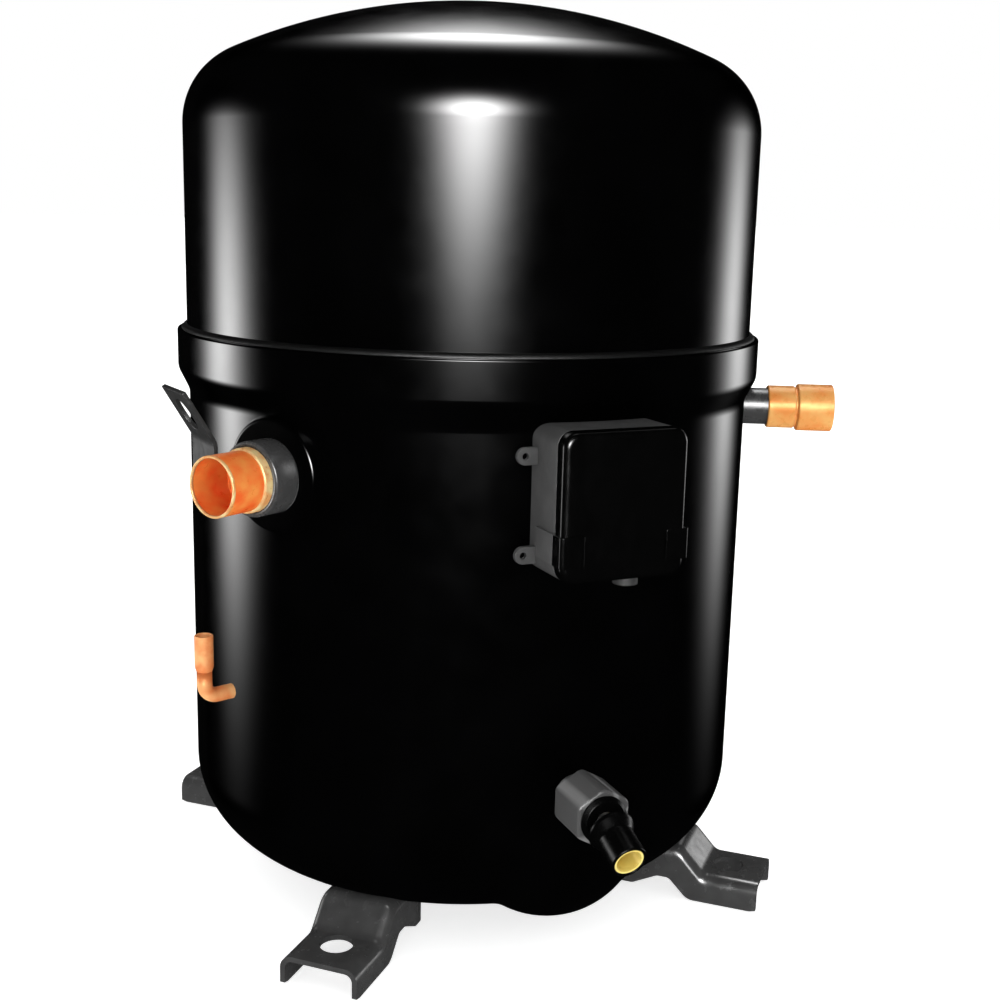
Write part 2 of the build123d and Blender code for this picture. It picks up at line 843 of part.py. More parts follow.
def wrap_outline(turn):
    """Draw one wrap: its two flanks are the involutes half a wall either side of its middle."""
    half_wall = wrap_thickness / (2 * base_circle)
    step = (wrap_end - wrap_start) / wrap_steps
    angles = [wrap_start + step * i for i in range(wrap_steps + 1)]
    outer = [involute(angle, -half_wall, turn) for angle in angles]
    inner = [involute(angle, half_wall, turn) for angle in angles]
    Spline(*outer)
    Spline(*inner)
    Line(outer[0], inner[0])
    Line(outer[-1], inner[-1])


# ---- Main frame and its bearing -----------------------------------------------------------
main_bush_outer = main_journal + running_gap + bush_wall
frame_radius = bell_bore - slip_gap
key_slot_inner = oldham_inner - orbit_radius - key_end_gap
key_slot_outer = oldham_outer + orbit_radius + key_end_gap
pipe_drop = outward(pipe_drop_azimuth) * pipe_drop_radius
rim_hole_circle = (ring_wall_outer + lower_bore) / 2

with BuildPart() as main_frame:
    with BuildSketch(Plane.XZ):
        with BuildLine():
            Polyline(
                (main_bush_outer, frame_hub_low_z),
                (frame_hub_radius, frame_hub_low_z),
                (frame_hub_radius, frame_seat_z),
                (frame_radius, frame_seat_z),
                (frame_radius, frame_seat_z + frame_rim),
                (ring_wall_outer, frame_seat_z + frame_rim),
                (ring_wall_outer, ring_top_z),
                (ring_wall_inner, ring_top_z),
                (ring_wall_inner, frame_floor_z),
                (thrust_ring_radius, frame_floor_z),
                (thrust_ring_radius, thrust_z),
                (recess_radius, thrust_z),
                (recess_radius, frame_floor_z),
                (main_bush_outer, frame_floor_z),
                close=True,
            )
        make_face()
    revolve(axis=Axis.Z)
    with BuildSketch(Plane.XY.offset(stator_top_z)):
        with PolarLocations(stator_bolt_circle, 4, start_angle=corner_angle):
            Circle(leg_radius)
    extrude(amount=frame_seat_z - stator_top_z)
    with BuildSketch(Plane.XY.offset(stator_top_z)):
        with PolarLocations(stator_bolt_circle, 4, start_angle=corner_angle):
            Circle(stator_bolt_radius)
    extrude(amount=stator_bolt_grip, mode=Mode.SUBTRACT)
    with BuildSketch(Plane.XY.offset(ring_top_z - bolt_grip)):
        with PolarLocations(scroll_bolt_circle, scroll_bolt_count, start_angle=scroll_bolt_turn):
            Circle(scroll_bolt_radius)
    extrude(amount=bolt_grip, mode=Mode.SUBTRACT)
    with BuildSketch(Plane.XY.offset(frame_floor_z + window_sill)):
        with PolarLocations((ring_wall_inner + ring_wall_outer) / 2, scroll_bolt_count):
            Rectangle(ring_wall_outer - ring_wall_inner + window_sill, window_width)
    extrude(amount=ring_top_z - frame_floor_z - 2 * window_sill, mode=Mode.SUBTRACT)
    with BuildSketch(Plane.XY.offset(frame_floor_z - key_slot_depth)):
        with PolarLocations((key_slot_inner + key_slot_outer) / 2, 2):
            Rectangle(key_slot_outer - key_slot_inner, oldham_key_width + 2 * key_gap)
    extrude(amount=key_slot_depth, mode=Mode.SUBTRACT)
    with BuildSketch(Plane.XY.offset(frame_seat_z)):
        with PolarLocations(rim_hole_circle, rim_hole_count, start_angle=180 / rim_hole_count):
            Circle(rim_hole_radius)
        with Locations(pipe_drop):
            Circle(pipe_radius + pipe_hole_gap)
    extrude(amount=frame_rim, mode=Mode.SUBTRACT)
finish(main_frame, "main_frame")

with BuildPart() as main_bearing:
    with BuildSketch(Plane.XY.offset(frame_hub_low_z)):
        ring_sketch(main_bush_outer, main_journal + running_gap)
    extrude(amount=frame_floor_z - frame_hub_low_z - bush_end_gap)
finish(main_bearing, "main_bearing")

# ---- Orbiting scroll ----------------------------------------------------------------------
hub_bore = drive_bush_radius + running_gap + bush_wall
hub_low_z = frame_floor_z + bush_end_gap
hub_bore_top_z = pin_top_z + 2 * bush_end_gap
open_key_width = oldham_key_width + 4 * orbit_radius + 2 * key_end_gap
orbit_center = (orbit_radius, 0, 0)

with BuildPart() as orbiting_scroll:
    with BuildSketch(Plane(orbit_center).offset(plate_low_z)):
        Circle(orbit_plate_radius)
    extrude(amount=orbit_base)
    with BuildSketch(Plane(orbit_center).offset(wrap_low_z)):
        with BuildLine():
            wrap_outline(1)
        make_face()
    extrude(amount=wrap_height)
    with BuildSketch(Plane(orbit_center).offset(hub_low_z)):
        Circle(hub_bore + hub_wall)
    extrude(amount=plate_low_z - hub_low_z)
    with BuildSketch(Plane(orbit_center).offset(hub_low_z)):
        Circle(hub_bore)
    extrude(amount=hub_bore_top_z - hub_low_z, mode=Mode.SUBTRACT)
    slot_inner = oldham_inner - orbit_radius - key_end_gap
    with BuildSketch(Plane(orbit_center).offset(plate_low_z)):
        with PolarLocations((slot_inner + orbit_plate_radius) / 2 + key_end_gap, 2, start_angle=90):
            Rectangle(orbit_plate_radius - slot_inner + 2 * key_end_gap, open_key_width)
    extrude(amount=key_slot_depth, mode=Mode.SUBTRACT)
finish(orbiting_scroll, "orbiting_scroll")

with BuildPart() as hub_bearing:
    with BuildSketch(Plane(orbit_center).offset(hub_low_z)):
        ring_sketch(hub_bore, drive_bush_radius + running_gap)
    extrude(amount=pin_top_z - hub_low_z)
finish(hub_bearing, "hub_bearing")

# ---- Fixed scroll and its bolts -----------------------------------------------------------
with BuildPart() as fixed_scroll:
    with BuildSketch(Plane.XY.offset(ring_top_z)):
        ring_sketch(ring_wall_outer, scroll_wall_inner)
    extrude(amount=fixed_plate_z - ring_top_z)
    with BuildSketch(Plane.XY.offset(fixed_plate_z)):
        Circle(ring_wall_outer)
    extrude(amount=scroll_plate)
    with BuildSketch(Plane.XY.offset(wrap_low_z + tip_gap)):
        with BuildLine():
            wrap_outline(-1)
        make_face()
    extrude(amount=fixed_plate_z - wrap_low_z - tip_gap)
    with BuildSketch(Plane.XY.offset(fixed_plate_z)):
        Circle(port_radius)
    extrude(amount=scroll_plate, mode=Mode.SUBTRACT)
    with BuildSketch(Plane.XY.offset(ring_top_z)):
        with PolarLocations(scroll_bolt_circle, scroll_bolt_count, start_angle=scroll_bolt_turn):
            Circle(scroll_bolt_radius + bolt_clearance)
    extrude(amount=fixed_top_z - ring_top_z, mode=Mode.SUBTRACT)
    with BuildSketch(Plane.XY.offset(ring_top_z + window_sill)):
        with PolarLocations((scroll_wall_inner + ring_wall_outer) / 2, 2):
            Rectangle(ring_wall_outer - scroll_wall_inner + window_sill, window_width)
    extrude(amount=fixed_plate_z - ring_top_z - 2 * window_sill, mode=Mode.SUBTRACT)
    with BuildSketch(Plane.XY.offset(fixed_top_z - muffler_bolt_grip)):
        with PolarLocations(muffler_bolt_circle, muffler_bolt_count):
            Circle(muffler_bolt_radius)
    extrude(amount=muffler_bolt_grip, mode=Mode.SUBTRACT)
finish(fixed_scroll, "fixed_scroll")


def socket_screws(circle, count, start_angle, radius, low_z, seat_z):
    """A ring of socket-head screws, each with its head on seat_z and its tip at low_z."""
    with BuildPart() as screws:
        with BuildSketch(Plane.XY.offset(low_z)):
            with PolarLocations(circle, count, start_angle=start_angle):
                Circle(radius)
        extrude(amount=seat_z - low_z)
        with BuildSketch(Plane.XY.offset(seat_z)):
            with PolarLocations(circle, count, start_angle=start_angle):
                Circle(radius * head_ratio)
        extrude(amount=radius * 2)
        with BuildSketch(Plane.XY.offset(seat_z + radius)):
            with PolarLocations(circle, count, start_angle=start_angle):
                RegularPolygon(radius * socket_ratio, 6)
        extrude(amount=radius, mode=Mode.SUBTRACT)
    return screws


scroll_screws = socket_screws(
    scroll_bolt_circle,
    scroll_bolt_count,
    scroll_bolt_turn,
    scroll_bolt_radius,
    ring_top_z - bolt_grip,
    fixed_top_z,
)
finish(scroll_screws, "scroll_screws")

# ---- Oldham coupling ----------------------------------------------------------------------
oldham_low_z = frame_floor_z + thrust_gap
oldham_top_z = thrust_z - oldham_top_gap
key_middle = (oldham_inner + oldham_outer) / 2
with BuildPart() as oldham_ring:
    with BuildSketch(Plane.XY.offset(oldham_low_z)):
        ring_sketch(oldham_outer, oldham_inner)
    extrude(amount=oldham_top_z - oldham_low_z)
    with BuildSketch(Plane.XY.offset(oldham_low_z)):
        with PolarLocations(key_middle, 2):
            Rectangle(oldham_key_length, oldham_key_width)
    extrude(amount=-oldham_key_depth)
    with BuildSketch(Plane.XY.offset(oldham_top_z)):
        with PolarLocations(key_middle, 2, start_angle=90):
            Rectangle(oldham_key_length, oldham_key_width)
    extrude(amount=oldham_key_depth + oldham_top_gap)
finish(oldham_ring, "oldham_ring")

# ---- Crankshaft, drive bush and oil pickup ------------------------------------------------
gallery_center = (orbit_radius / 2, 0, 0)
with BuildPart() as crankshaft:
    shaft_steps = (
        (crank_low_z, journal_step_z, lower_journal),
        (journal_step_z, stator_top_z + cage_ring_height, rotor_bore),
        (stator_top_z + cage_ring_height, crank_top_z, main_journal),
    )
    for start, end, radius in shaft_steps:
        with BuildSketch(Plane.XY.offset(start)):
            Circle(radius)
        extrude(amount=end - start)
    with BuildSketch(Plane(orbit_center).offset(crank_top_z)):
        Circle(crank_pin)
    extrude(amount=pin_top_z - crank_top_z)
    with BuildSketch(Plane(gallery_center).offset(crank_low_z)):
        Circle(oil_gallery)
    extrude(amount=pin_top_z - crank_low_z, mode=Mode.SUBTRACT)
finish(crankshaft, "crankshaft")

with BuildPart() as drive_bush:
    with BuildSketch(Plane(orbit_center).offset(hub_low_z)):
        ring_sketch(drive_bush_radius, crank_pin)
    extrude(amount=pin_top_z - hub_low_z)
finish(drive_bush, "drive_bush")

with BuildPart() as oil_pickup:
    with BuildSketch(Plane.XY.offset(pickup_low_z)):
        ring_sketch(pickup_radius, pickup_bore)
    extrude(amount=crank_low_z - pickup_low_z)
finish(oil_pickup, "oil_pickup")

# ---- Rotor and its counterweights ---------------------------------------------------------
stack_height = stator_top_z - stator_low_z
bar_angle = 360 / cage_bar_count
with BuildPart() as rotor_core:
    with BuildSketch(Plane.XY.offset(stator_low_z)):
        ring_sketch(rotor_radius, rotor_bore)
        with PolarLocations(cage_bar_circle, cage_bar_count):
            Circle(cage_bar_radius, mode=Mode.SUBTRACT)
    extrude(amount=stack_height)
finish(rotor_core, "rotor_core")

with BuildPart() as rotor_cage:
    with BuildSketch(Plane.XY.offset(stator_low_z)):
        with PolarLocations(cage_bar_circle, cage_bar_count):
            Circle(cage_bar_radius)
    extrude(amount=stack_height)
    for ring_z in (stator_low_z - cage_ring_height, stator_top_z):
        with BuildSketch(Plane.XY.offset(ring_z)):
            ring_sketch(weight_outer, cage_ring_inner)
        extrude(amount=cage_ring_height)
finish(rotor_cage, "rotor_cage")


def weight_outline(middle_angle):
    """Draw a part-ring centred on one side of the shaft."""
    start = middle_angle - weight_arc / 2
    outer = CenterArc((0, 0), weight_outer, start, weight_arc)
    inner = CenterArc((0, 0), weight_inner, start, weight_arc)
    Line(outer @ 0, inner @ 0)
    Line(outer @ 1, inner @ 1)


with BuildPart() as upper_counterweight:
    with BuildSketch(Plane.XY.offset(stator_top_z + cage_ring_height)):
        with BuildLine():
            weight_outline(180)
        make_face()
    extrude(amount=weight_height)
finish(upper_counterweight, "upper_counterweight")

with BuildPart() as lower_counterweight:
    with BuildSketch(Plane.XY.offset(stator_low_z - cage_ring_height)):
        with BuildLine():
            weight_outline(0)
        make_face()
    extrude(amount=-weight_height)
finish(lower_counterweight, "lower_counterweight")

# ---- Stator -------------------------------------------------------------------------------
slot_depth = slot_root - slot_mouth
with BuildPart() as stator_core:
    with BuildSketch(Plane.XY.offset(stator_low_z)):
        ring_sketch(stator_radius, stator_bore)
        with PolarLocations((slot_root + slot_mouth) / 2, slot_count):
            SlotOverall(slot_depth, slot_width, mode=Mode.SUBTRACT)
        with PolarLocations((stator_bore + slot_mouth) / 2, slot_count):
            Rectangle(slot_mouth - stator_bore + slot_width, slot_opening, mode=Mode.SUBTRACT)
        with PolarLocations(stator_bolt_circle, 4, start_angle=corner_angle):
            Circle(stator_bolt_radius, mode=Mode.SUBTRACT)
    extrude(amount=stack_height)
finish(stator_core, "stator_core")

with BuildPart() as stator_winding:
    with BuildSketch(Plane.XY.offset(stator_low_z)):
        with PolarLocations((slot_root + slot_mouth) / 2, slot_count):
            SlotOverall(slot_depth - 2 * slot_liner, slot_width - 2 * slot_liner)
    extrude(amount=stack_height)
    for turn_z in (stator_low_z - end_turn_height, stator_top_z):
        with BuildSketch(Plane.XY.offset(turn_z)):
            ring_sketch(slot_root, end_turn_inner)
        extrude(amount=end_turn_height)
    for end_face in (stator_winding.faces().sort_by(Axis.Z)[0], stator_winding.faces().sort_by(Axis.Z)[-1]):
        fillet(end_face.edges(), radius=end_turn_round)
finish(stator_winding, "stator_winding")

# ---- Lower bracket, its bearing and the motor bolts ---------------------------------------
bracket_low_z = stator_low_z - bracket_drop
bracket_hub_top_z = journal_step_z - thrust_gap - thrust_washer
lower_bush_outer = lower_journal + running_gap + bush_wall
with BuildPart() as lower_bracket:
    with BuildSketch(Plane.XY.offset(bracket_low_z)):
        for arm_angle in (corner_angle, -corner_angle):
            SlotCenterToCenter(2 * stator_bolt_circle, bracket_arm_width, rotation=arm_angle)
        Circle(bracket_hub_radius)
    extrude(amount=bracket_plate)
    with BuildSketch(Plane.XY.offset(bracket_low_z)):
        Circle(bracket_hub_radius)
    extrude(amount=bracket_hub_top_z - bracket_low_z)
    with BuildSketch(Plane.XY.offset(bracket_low_z)):
        with PolarLocations(stator_bolt_circle, 4, start_angle=corner_angle):
            Circle(leg_radius)
    extrude(amount=bracket_drop)
    with BuildSketch(Plane.XY.offset(bracket_low_z)):
        with PolarLocations(stator_bolt_circle, 4, start_angle=corner_angle):
            Circle(stator_bolt_radius)
        Circle(lower_bush_outer)
    extrude(amount=bracket_drop, mode=Mode.SUBTRACT)
finish(lower_bracket, "lower_bracket")

with BuildPart() as lower_bearing:
    with BuildSketch(Plane.XY.offset(bracket_low_z)):
        ring_sketch(lower_bush_outer, lower_journal + running_gap)
    extrude(amount=bracket_hub_top_z - bracket_low_z)
finish(lower_bearing, "lower_bearing")

with BuildPart() as thrust_ring:
    with BuildSketch(Plane.XY.offset(bracket_hub_top_z)):
        ring_sketch(bracket_hub_radius - bush_end_gap, lower_journal + bush_end_gap)
    extrude(amount=thrust_washer)
finish(thrust_ring, "thrust_washer")

bolt_head = 2 * stator_bolt_radius
with BuildPart() as stator_bolts:
    with BuildSketch(Plane.XY.offset(bracket_low_z)):
        with PolarLocations(stator_bolt_circle, 4, start_angle=corner_angle):
            Circle(stator_bolt_radius)
    extrude(amount=stator_top_z + stator_bolt_grip - bracket_low_z)
    with BuildSketch(Plane.XY.offset(bracket_low_z)):
        with PolarLocations(stator_bolt_circle, 4, start_angle=corner_angle):
            RegularPolygon(stator_bolt_radius * head_ratio, 6)
    extrude(amount=-bolt_head)
finish(stator_bolts, "stator_bolts")

# ---- Motor leads: from the terminal pins to the winding -----------------------------------
lead_plane = wall_plane(0, pin_start, terminal_z)
with BuildPart() as motor_leads:
    with BuildSketch(lead_plane):
        with PolarLocations(pin_circle, pin_count, start_angle=top_angle):
            Circle(lead_radius)
    extrude(amount=slot_root - pin_start - lead_dip)
    with BuildSketch(Plane.XY.offset(stator_top_z)):
        Circle(slot_root)
    extrude(amount=end_turn_height, mode=Mode.SUBTRACT)
finish(motor_leads, "motor_leads")

# ---- Discharge valve and its stop ---------------------------------------------------------
with BuildPart() as discharge_valve:
    with BuildSketch(Plane.XY.offset(fixed_top_z)):
        Circle(valve_radius)
    extrude(amount=valve_thickness)
finish(discharge_valve, "discharge_valve")

with BuildPart() as valve_stop:
    with BuildSketch(Plane.XY.offset(fixed_top_z)):
        ring_sketch(stop_radius, stop_radius - stop_wall)
        with PolarLocations(stop_radius, 3):
            Rectangle(3 * stop_wall, stop_slot, mode=Mode.SUBTRACT)
    extrude(amount=valve_stop_z - fixed_top_z)
    with BuildSketch(Plane.XY.offset(valve_stop_z)):
        ring_sketch(stop_radius, stop_vent)
    extrude(amount=stop_plate)
finish(valve_stop, "valve_stop")

# ---- Muffler over the discharge port ------------------------------------------------------
muffler_top_z = fixed_top_z + muffler_height
pipe_z = fixed_top_z + pipe_height
with BuildPart() as muffler_cap:
    with BuildSketch(Plane.XY.offset(fixed_top_z)):
        Circle(muffler_radius)
    extrude(amount=muffler_height)
    fillet(muffler_cap.faces().sort_by(Axis.Z)[-1].edges(), radius=muffler_round)
    with BuildSketch(Plane.XY.offset(fixed_top_z)):
        Circle(muffler_flange_radius)
    extrude(amount=muffler_wall)
    with BuildSketch(Plane.XY.offset(fixed_top_z)):
        Circle(muffler_radius - muffler_wall)
    extrude(amount=muffler_height - muffler_round, mode=Mode.SUBTRACT)
    with BuildSketch(Plane.XY.offset(muffler_top_z - muffler_round)):
        Circle(muffler_radius - muffler_round)
    extrude(amount=muffler_round - muffler_wall, mode=Mode.SUBTRACT)
    with BuildSketch(Plane.XY.offset(fixed_top_z)):
        with PolarLocations(muffler_bolt_circle, muffler_bolt_count):
            Circle(muffler_bolt_radius)
    extrude(amount=muffler_wall, mode=Mode.SUBTRACT)
    with BuildSketch(wall_plane(pipe_drop_azimuth, pipe_start_radius, pipe_z)):
        Circle(pipe_radius)
    extrude(amount=muffler_radius, mode=Mode.SUBTRACT)
finish(muffler_cap, "muffler_cap")

muffler_screws = socket_screws(
    muffler_bolt_circle,
    muffler_bolt_count,
    0,
    muffler_bolt_radius,
    fixed_top_z - muffler_bolt_grip,
    fixed_top_z + muffler_wall,
)
finish(muffler_screws, "muffler_screws")

# ---- Discharge pipe: from the muffler down through the frame to the discharge fitting -----
rise = Vector(0, 0, 1)
with BuildPart() as discharge_pipe:
    with BuildLine() as pipe_route:
        FilletPolyline(
            outward(pipe_drop_azimuth) * pipe_start_radius + rise * pipe_z,
            pipe_drop + rise * pipe_z,
            pipe_drop + rise * discharge_z,
            outward(discharge_azimuth) * pipe_turn_radius + rise * discharge_z,
            outward(discharge_azimuth) * shell_radius + rise * discharge_z,
            radius=pipe_bend,
        )
    with BuildSketch(Plane(origin=pipe_route.line @ 0, z_dir=pipe_route.line % 0)):
        ring_sketch(pipe_radius, pipe_bore)
    sweep()
finish(discharge_pipe, "discharge_pipe")
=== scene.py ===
"""Looks of the scroll compressor: shells, fittings, feet and box as fine meshes on the CAD frame."""
import json
from math import asin, atan2, cos, hypot, pi, radians, sin, sqrt, tan

import bmesh
import bpy
from mathutils import Matrix, Vector


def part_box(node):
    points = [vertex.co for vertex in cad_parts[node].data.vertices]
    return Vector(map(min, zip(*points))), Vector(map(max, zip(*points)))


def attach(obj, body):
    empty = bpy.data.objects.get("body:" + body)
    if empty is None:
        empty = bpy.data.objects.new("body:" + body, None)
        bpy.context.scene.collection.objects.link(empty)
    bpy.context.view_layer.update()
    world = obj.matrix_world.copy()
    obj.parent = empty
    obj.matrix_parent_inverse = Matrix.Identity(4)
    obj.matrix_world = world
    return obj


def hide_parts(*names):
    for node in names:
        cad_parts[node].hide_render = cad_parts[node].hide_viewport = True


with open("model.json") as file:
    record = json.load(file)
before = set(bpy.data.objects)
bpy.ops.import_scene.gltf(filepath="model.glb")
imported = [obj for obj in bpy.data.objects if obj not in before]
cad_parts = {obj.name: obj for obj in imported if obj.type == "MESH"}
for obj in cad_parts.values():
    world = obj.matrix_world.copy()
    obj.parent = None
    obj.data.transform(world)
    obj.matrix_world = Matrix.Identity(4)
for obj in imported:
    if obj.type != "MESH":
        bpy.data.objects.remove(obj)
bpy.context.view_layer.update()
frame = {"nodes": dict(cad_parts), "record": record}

MM = 0.001
UP = Vector((0, 0, 1))

# ---- Places read from the frame -----------------------------------------------------------
lower_low, lower_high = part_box("lower_shell")
upper_low, upper_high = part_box("upper_shell")
weld_low, weld_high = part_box("girth_weld")
box_low, box_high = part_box("terminal_box")
cover_low, cover_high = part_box("terminal_cover")

BELL_RADIUS = lower_high.x
UPPER_RADIUS = upper_high.x
BELL_TOP = lower_high.z
SEAT = upper_low.z

# ---- Sizes that the boxes don't give ------------------------------------------------------
WALL = 4.0 * MM
FRAME_RIM = 8.0 * MM
BELL_GROWTH = 4.75 * MM
TAPER_TOP = BELL_TOP - 16.9 * MM
TAPER_LOW = TAPER_TOP - 9.8 * MM
SHELL_RADIUS = BELL_RADIUS - BELL_GROWTH
BOWL_KNUCKLE = 40.0 * MM
BOWL_CROWN = 400.0 * MM
BOWL_TANGENT = 45.4 * MM
DOME_KNUCKLE = 34.2 * MM
DOME_CROWN = 259.7 * MM
DOME_TANGENT = 331.2 * MM
POCKET_AZIMUTH = 2.4
POCKET_OFFSET = 86.0 * MM
POCKET_RADIUS = 43.2 * MM
POCKET_Z = 39.0 * MM
POCKET_BLEND = 3.0 * MM
SHELL_TURNS = 256
FRONT_AZIMUTH = -2.0
SUCTION_AZIMUTH = -60.0
SUCTION_Z = 193.3 * MM
SUCTION_SEAT = 130.0 * MM
DISCHARGE_AZIMUTH = 62.0
DISCHARGE_Z = 212.0 * MM
PROCESS_AZIMUTH = -74.2
PROCESS_Z = 94.6 * MM
PROCESS_STAND = 139.8 * MM
PROCESS_SWAGE = 107.0 * MM
OIL_Z = 66.9 * MM
OUTLET_TILT = radians(20)
TERMINAL_Z = (box_low.z + box_high.z) / 2
BOX_CORNER = 6.0 * MM
BOX_WALL = 2.2 * MM
COVER_ROUND = 2.6 * MM
CLIP_Z = 175.0 * MM
LUG_AZIMUTH = -83.5
LUG_LEAN = 31.0
LUG_SHEET = 2.6 * MM
LUG_WIDTH = 27.0 * MM
LUG_LENGTH = 26.0 * MM
LUG_LOW = 172.0 * MM
LUG_BEND = 201.0 * MM
LUG_THIN = 1.9 * MM
LUG_SLOT_WIDTH = 13.5 * MM
LUG_SLOT_RUN = 2.0 * MM
LUG_SLOT_INSET = 12.3 * MM
LUG_CONTACT = 0.8 * MM
FOOT_AZIMUTHS = {"front_right": 45, "rear_right": 135, "rear_left": 225, "front_left": 315}
BOLT_CIRCLE = 190.5 * MM / sqrt(2)
FOOT_HOLE = 7.0 * MM
FOOT_SHEET = 2.2 * MM
FOOT_WIDTH = 34.5 * MM
FOOT_BEND = 5.5 * MM
FOOT_TIP = 151.0 * MM
FOOT_ROOT = 88.0 * MM
FOOT_RISE = 11.8 * MM
JOGGLE_LOW = 126.0 * MM
JOGGLE_HIGH = 115.0 * MM
HEM_LOW = -10.5 * MM
HEM_FAR = 119.5 * MM
HEM_NEAR = 110.5 * MM
HEM_WAIST = -1.5 * MM
WAIST = 105.0 * MM
LOBE = 93.5 * MM
LOBE_LOW = -7.2 * MM

# ---- Camera and light ---------------------------------------------------------------------
CAMERA_AZIMUTH = -23.26
CAMERA_DISTANCE = 0.6479
CAMERA_HEIGHT = 0.3011
CAMERA_PITCH = 12.035
CAMERA_YAW = 1.411
CAMERA_ROLL = 1.352
CAMERA_LENS = 50.22
KEY_LEVEL = 46.0
LEFT_LEVEL = 8.1
RIGHT_LEVEL = 3.95
TOP_LEVEL = 13.9
AMBIENT = 0.9
MIRRORED = 0.002


def outward(azimuth):
    """Unit vector away from the axis; azimuth 0 is -Y and it grows towards +X."""
    return Vector((sin(radians(azimuth)), -cos(radians(azimuth)), 0))


def wall_place(azimuth, distance, height):
    """A placement with x along the wall, y up and z outward."""
    out = outward(azimuth)
    across = Vector((cos(radians(azimuth)), sin(radians(azimuth)), 0))
    place = Matrix((across, UP, out)).transposed().to_4x4()
    place.translation = out * distance + UP * height
    return place


def axis_place(point, axis):
    """A placement at a point with z along an axis and x level."""
    z = Vector(axis).normalized()
    x = UP.cross(z).normalized() if abs(z.z) < 0.99 else Vector((1, 0, 0))
    place = Matrix((x, z.cross(x), z)).transposed().to_4x4()
    place.translation = point
    return place


# ---- Outlines -----------------------------------------------------------------------------
def rounded(corners, steps=6):
    """An outline through corners given as (x, y, radius), each turned on its own arc."""
    points = []
    for index, (x, y, radius) in enumerate(corners):
        here = Vector((x, y))
        if radius <= 0 or index in (0, len(corners) - 1):
            points.append(here)
            continue
        back = (Vector(corners[index - 1][:2]) - here).normalized()
        ahead = (Vector(corners[index + 1][:2]) - here).normalized()
        half = back.angle(ahead) / 2
        reach = radius / tan(half)
        middle = (back + ahead).normalized()
        center = here + middle * (radius / sin(half))
        start = here + back * reach - center
        end = here + ahead * reach - center
        for step in range(steps + 1):
            share = step / steps
            spoke = start.lerp(end, share).normalized() * radius
            points.append(center + spoke)
    return points


def head(radius, knuckle, crown, tangent_z, side, steps=28):
    """Half of a dished head, from the axis to the wall: a crown arc, then a knuckle arc."""
    crown_z = tangent_z - side * sqrt((crown - knuckle) ** 2 - (radius - knuckle) ** 2)
    meet = asin((radius - knuckle) / (crown - knuckle))
    points = []
    for step in range(steps):
        angle = meet * step / steps
        points.append(Vector((crown * sin(angle), crown_z + side * crown * cos(angle))))
    for step in range(steps + 1):
        angle = meet + (pi / 2 - meet) * step / steps
        x = radius - knuckle + knuckle * sin(angle)
        points.append(Vector((x, tangent_z + side * knuckle * cos(angle))))
    return points


def fill(points, longest):
    """Add points on long straight runs so that no step is longer than `longest`."""
    out = [points[0]]
    for point in points[1:]:
        count = max(1, int((point - out[-1]).length / longest + 0.999))
        start = out[-1]
        out += [start.lerp(point, (step + 1) / count) for step in range(count)]
    return out


# ---- Mesh makers --------------------------------------------------------------------------
def new_piece(name, verts, faces, material, body="shell", smooth=True):
    """A smooth mesh object that rides on a body; only the painted shell shows in reflections."""
    mesh = bpy.data.meshes.new(name)
    mesh.from_pydata([tuple(v) for v in verts], [], faces)
    mesh.validate()
    work = bmesh.new()
    work.from_mesh(mesh)
    bmesh.ops.remove_doubles(work, verts=work.verts, dist=1e-7)
    bmesh.ops.recalc_face_normals(work, faces=work.faces)
    work.to_mesh(mesh)
    work.free()
    for polygon in mesh.polygons:
        polygon.use_smooth = smooth
    piece = bpy.data.objects.new(name, mesh)
    bpy.context.scene.collection.objects.link(piece)
    mesh.materials.append(material)
    piece.visible_glossy = material is shell_paint
    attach(piece, body)
    return piece


def lathe(profile, place=Matrix.Identity(4), segments=96, closed=False, shape=None):
    """Vertices and faces of a profile of (radius, along) turned about z of a placement."""
    verts = []
    for point in profile:
        for turn in range(segments):
            angle = 2 * pi * turn / segments
            vertex = Vector((point[0] * cos(angle), point[0] * sin(angle), point[1]))
            vertex = place @ vertex
            verts.append(shape(vertex) if shape else vertex)
    faces = []
    rows = len(profile)
    for row in range(rows if closed else rows - 1):
        following = (row + 1) % rows
        for turn in range(segments):
            beside = (turn + 1) % segments
            a = row * segments + turn
            b = row * segments + beside
            c = following * segments + beside
            d = following * segments + turn
            faces.append((a, b, c, d))
    return verts, faces


def join(parts):
    """One vertex list and face list from several."""
    verts = []
    faces = []
    for part_verts, part_faces in parts:
        offset = len(verts)
        verts += part_verts
        faces += [tuple(index + offset for index in face) for face in part_faces]
    return verts, faces


def prism(outline, low, high, place):
    """A flat outline raised from low to high along z of a placement."""
    count = len(outline)
    verts = [place @ Vector((p[0], p[1], low)) for p in outline]
    verts += [place @ Vector((p[0], p[1], high)) for p in outline]
    faces = [tuple(range(count))[::-1], tuple(range(count, 2 * count))]
    for index in range(count):
        after = (index + 1) % count
        faces.append((index, after, count + after, count + index))
    return verts, faces


def circle(radius, steps, x=0.0, y=0.0):
    """A round outline about a point."""
    angles = [2 * pi * step / steps for step in range(steps)]
    return [(x + radius * cos(angle), y + radius * sin(angle)) for angle in angles]


def modify(piece, kind, **settings):
    """Add a modifier and apply it to the mesh at once."""
    modifier = piece.modifiers.new(kind.lower(), kind)
    for key, value in settings.items():
        setattr(modifier, key, value)
    bpy.context.view_layer.update()
    graph = bpy.context.evaluated_depsgraph_get()
    made = bpy.data.meshes.new_from_object(piece.evaluated_get(graph))
    piece.modifiers.clear()
    old = piece.data
    piece.data = made
    bpy.data.meshes.remove(old)
    return piece


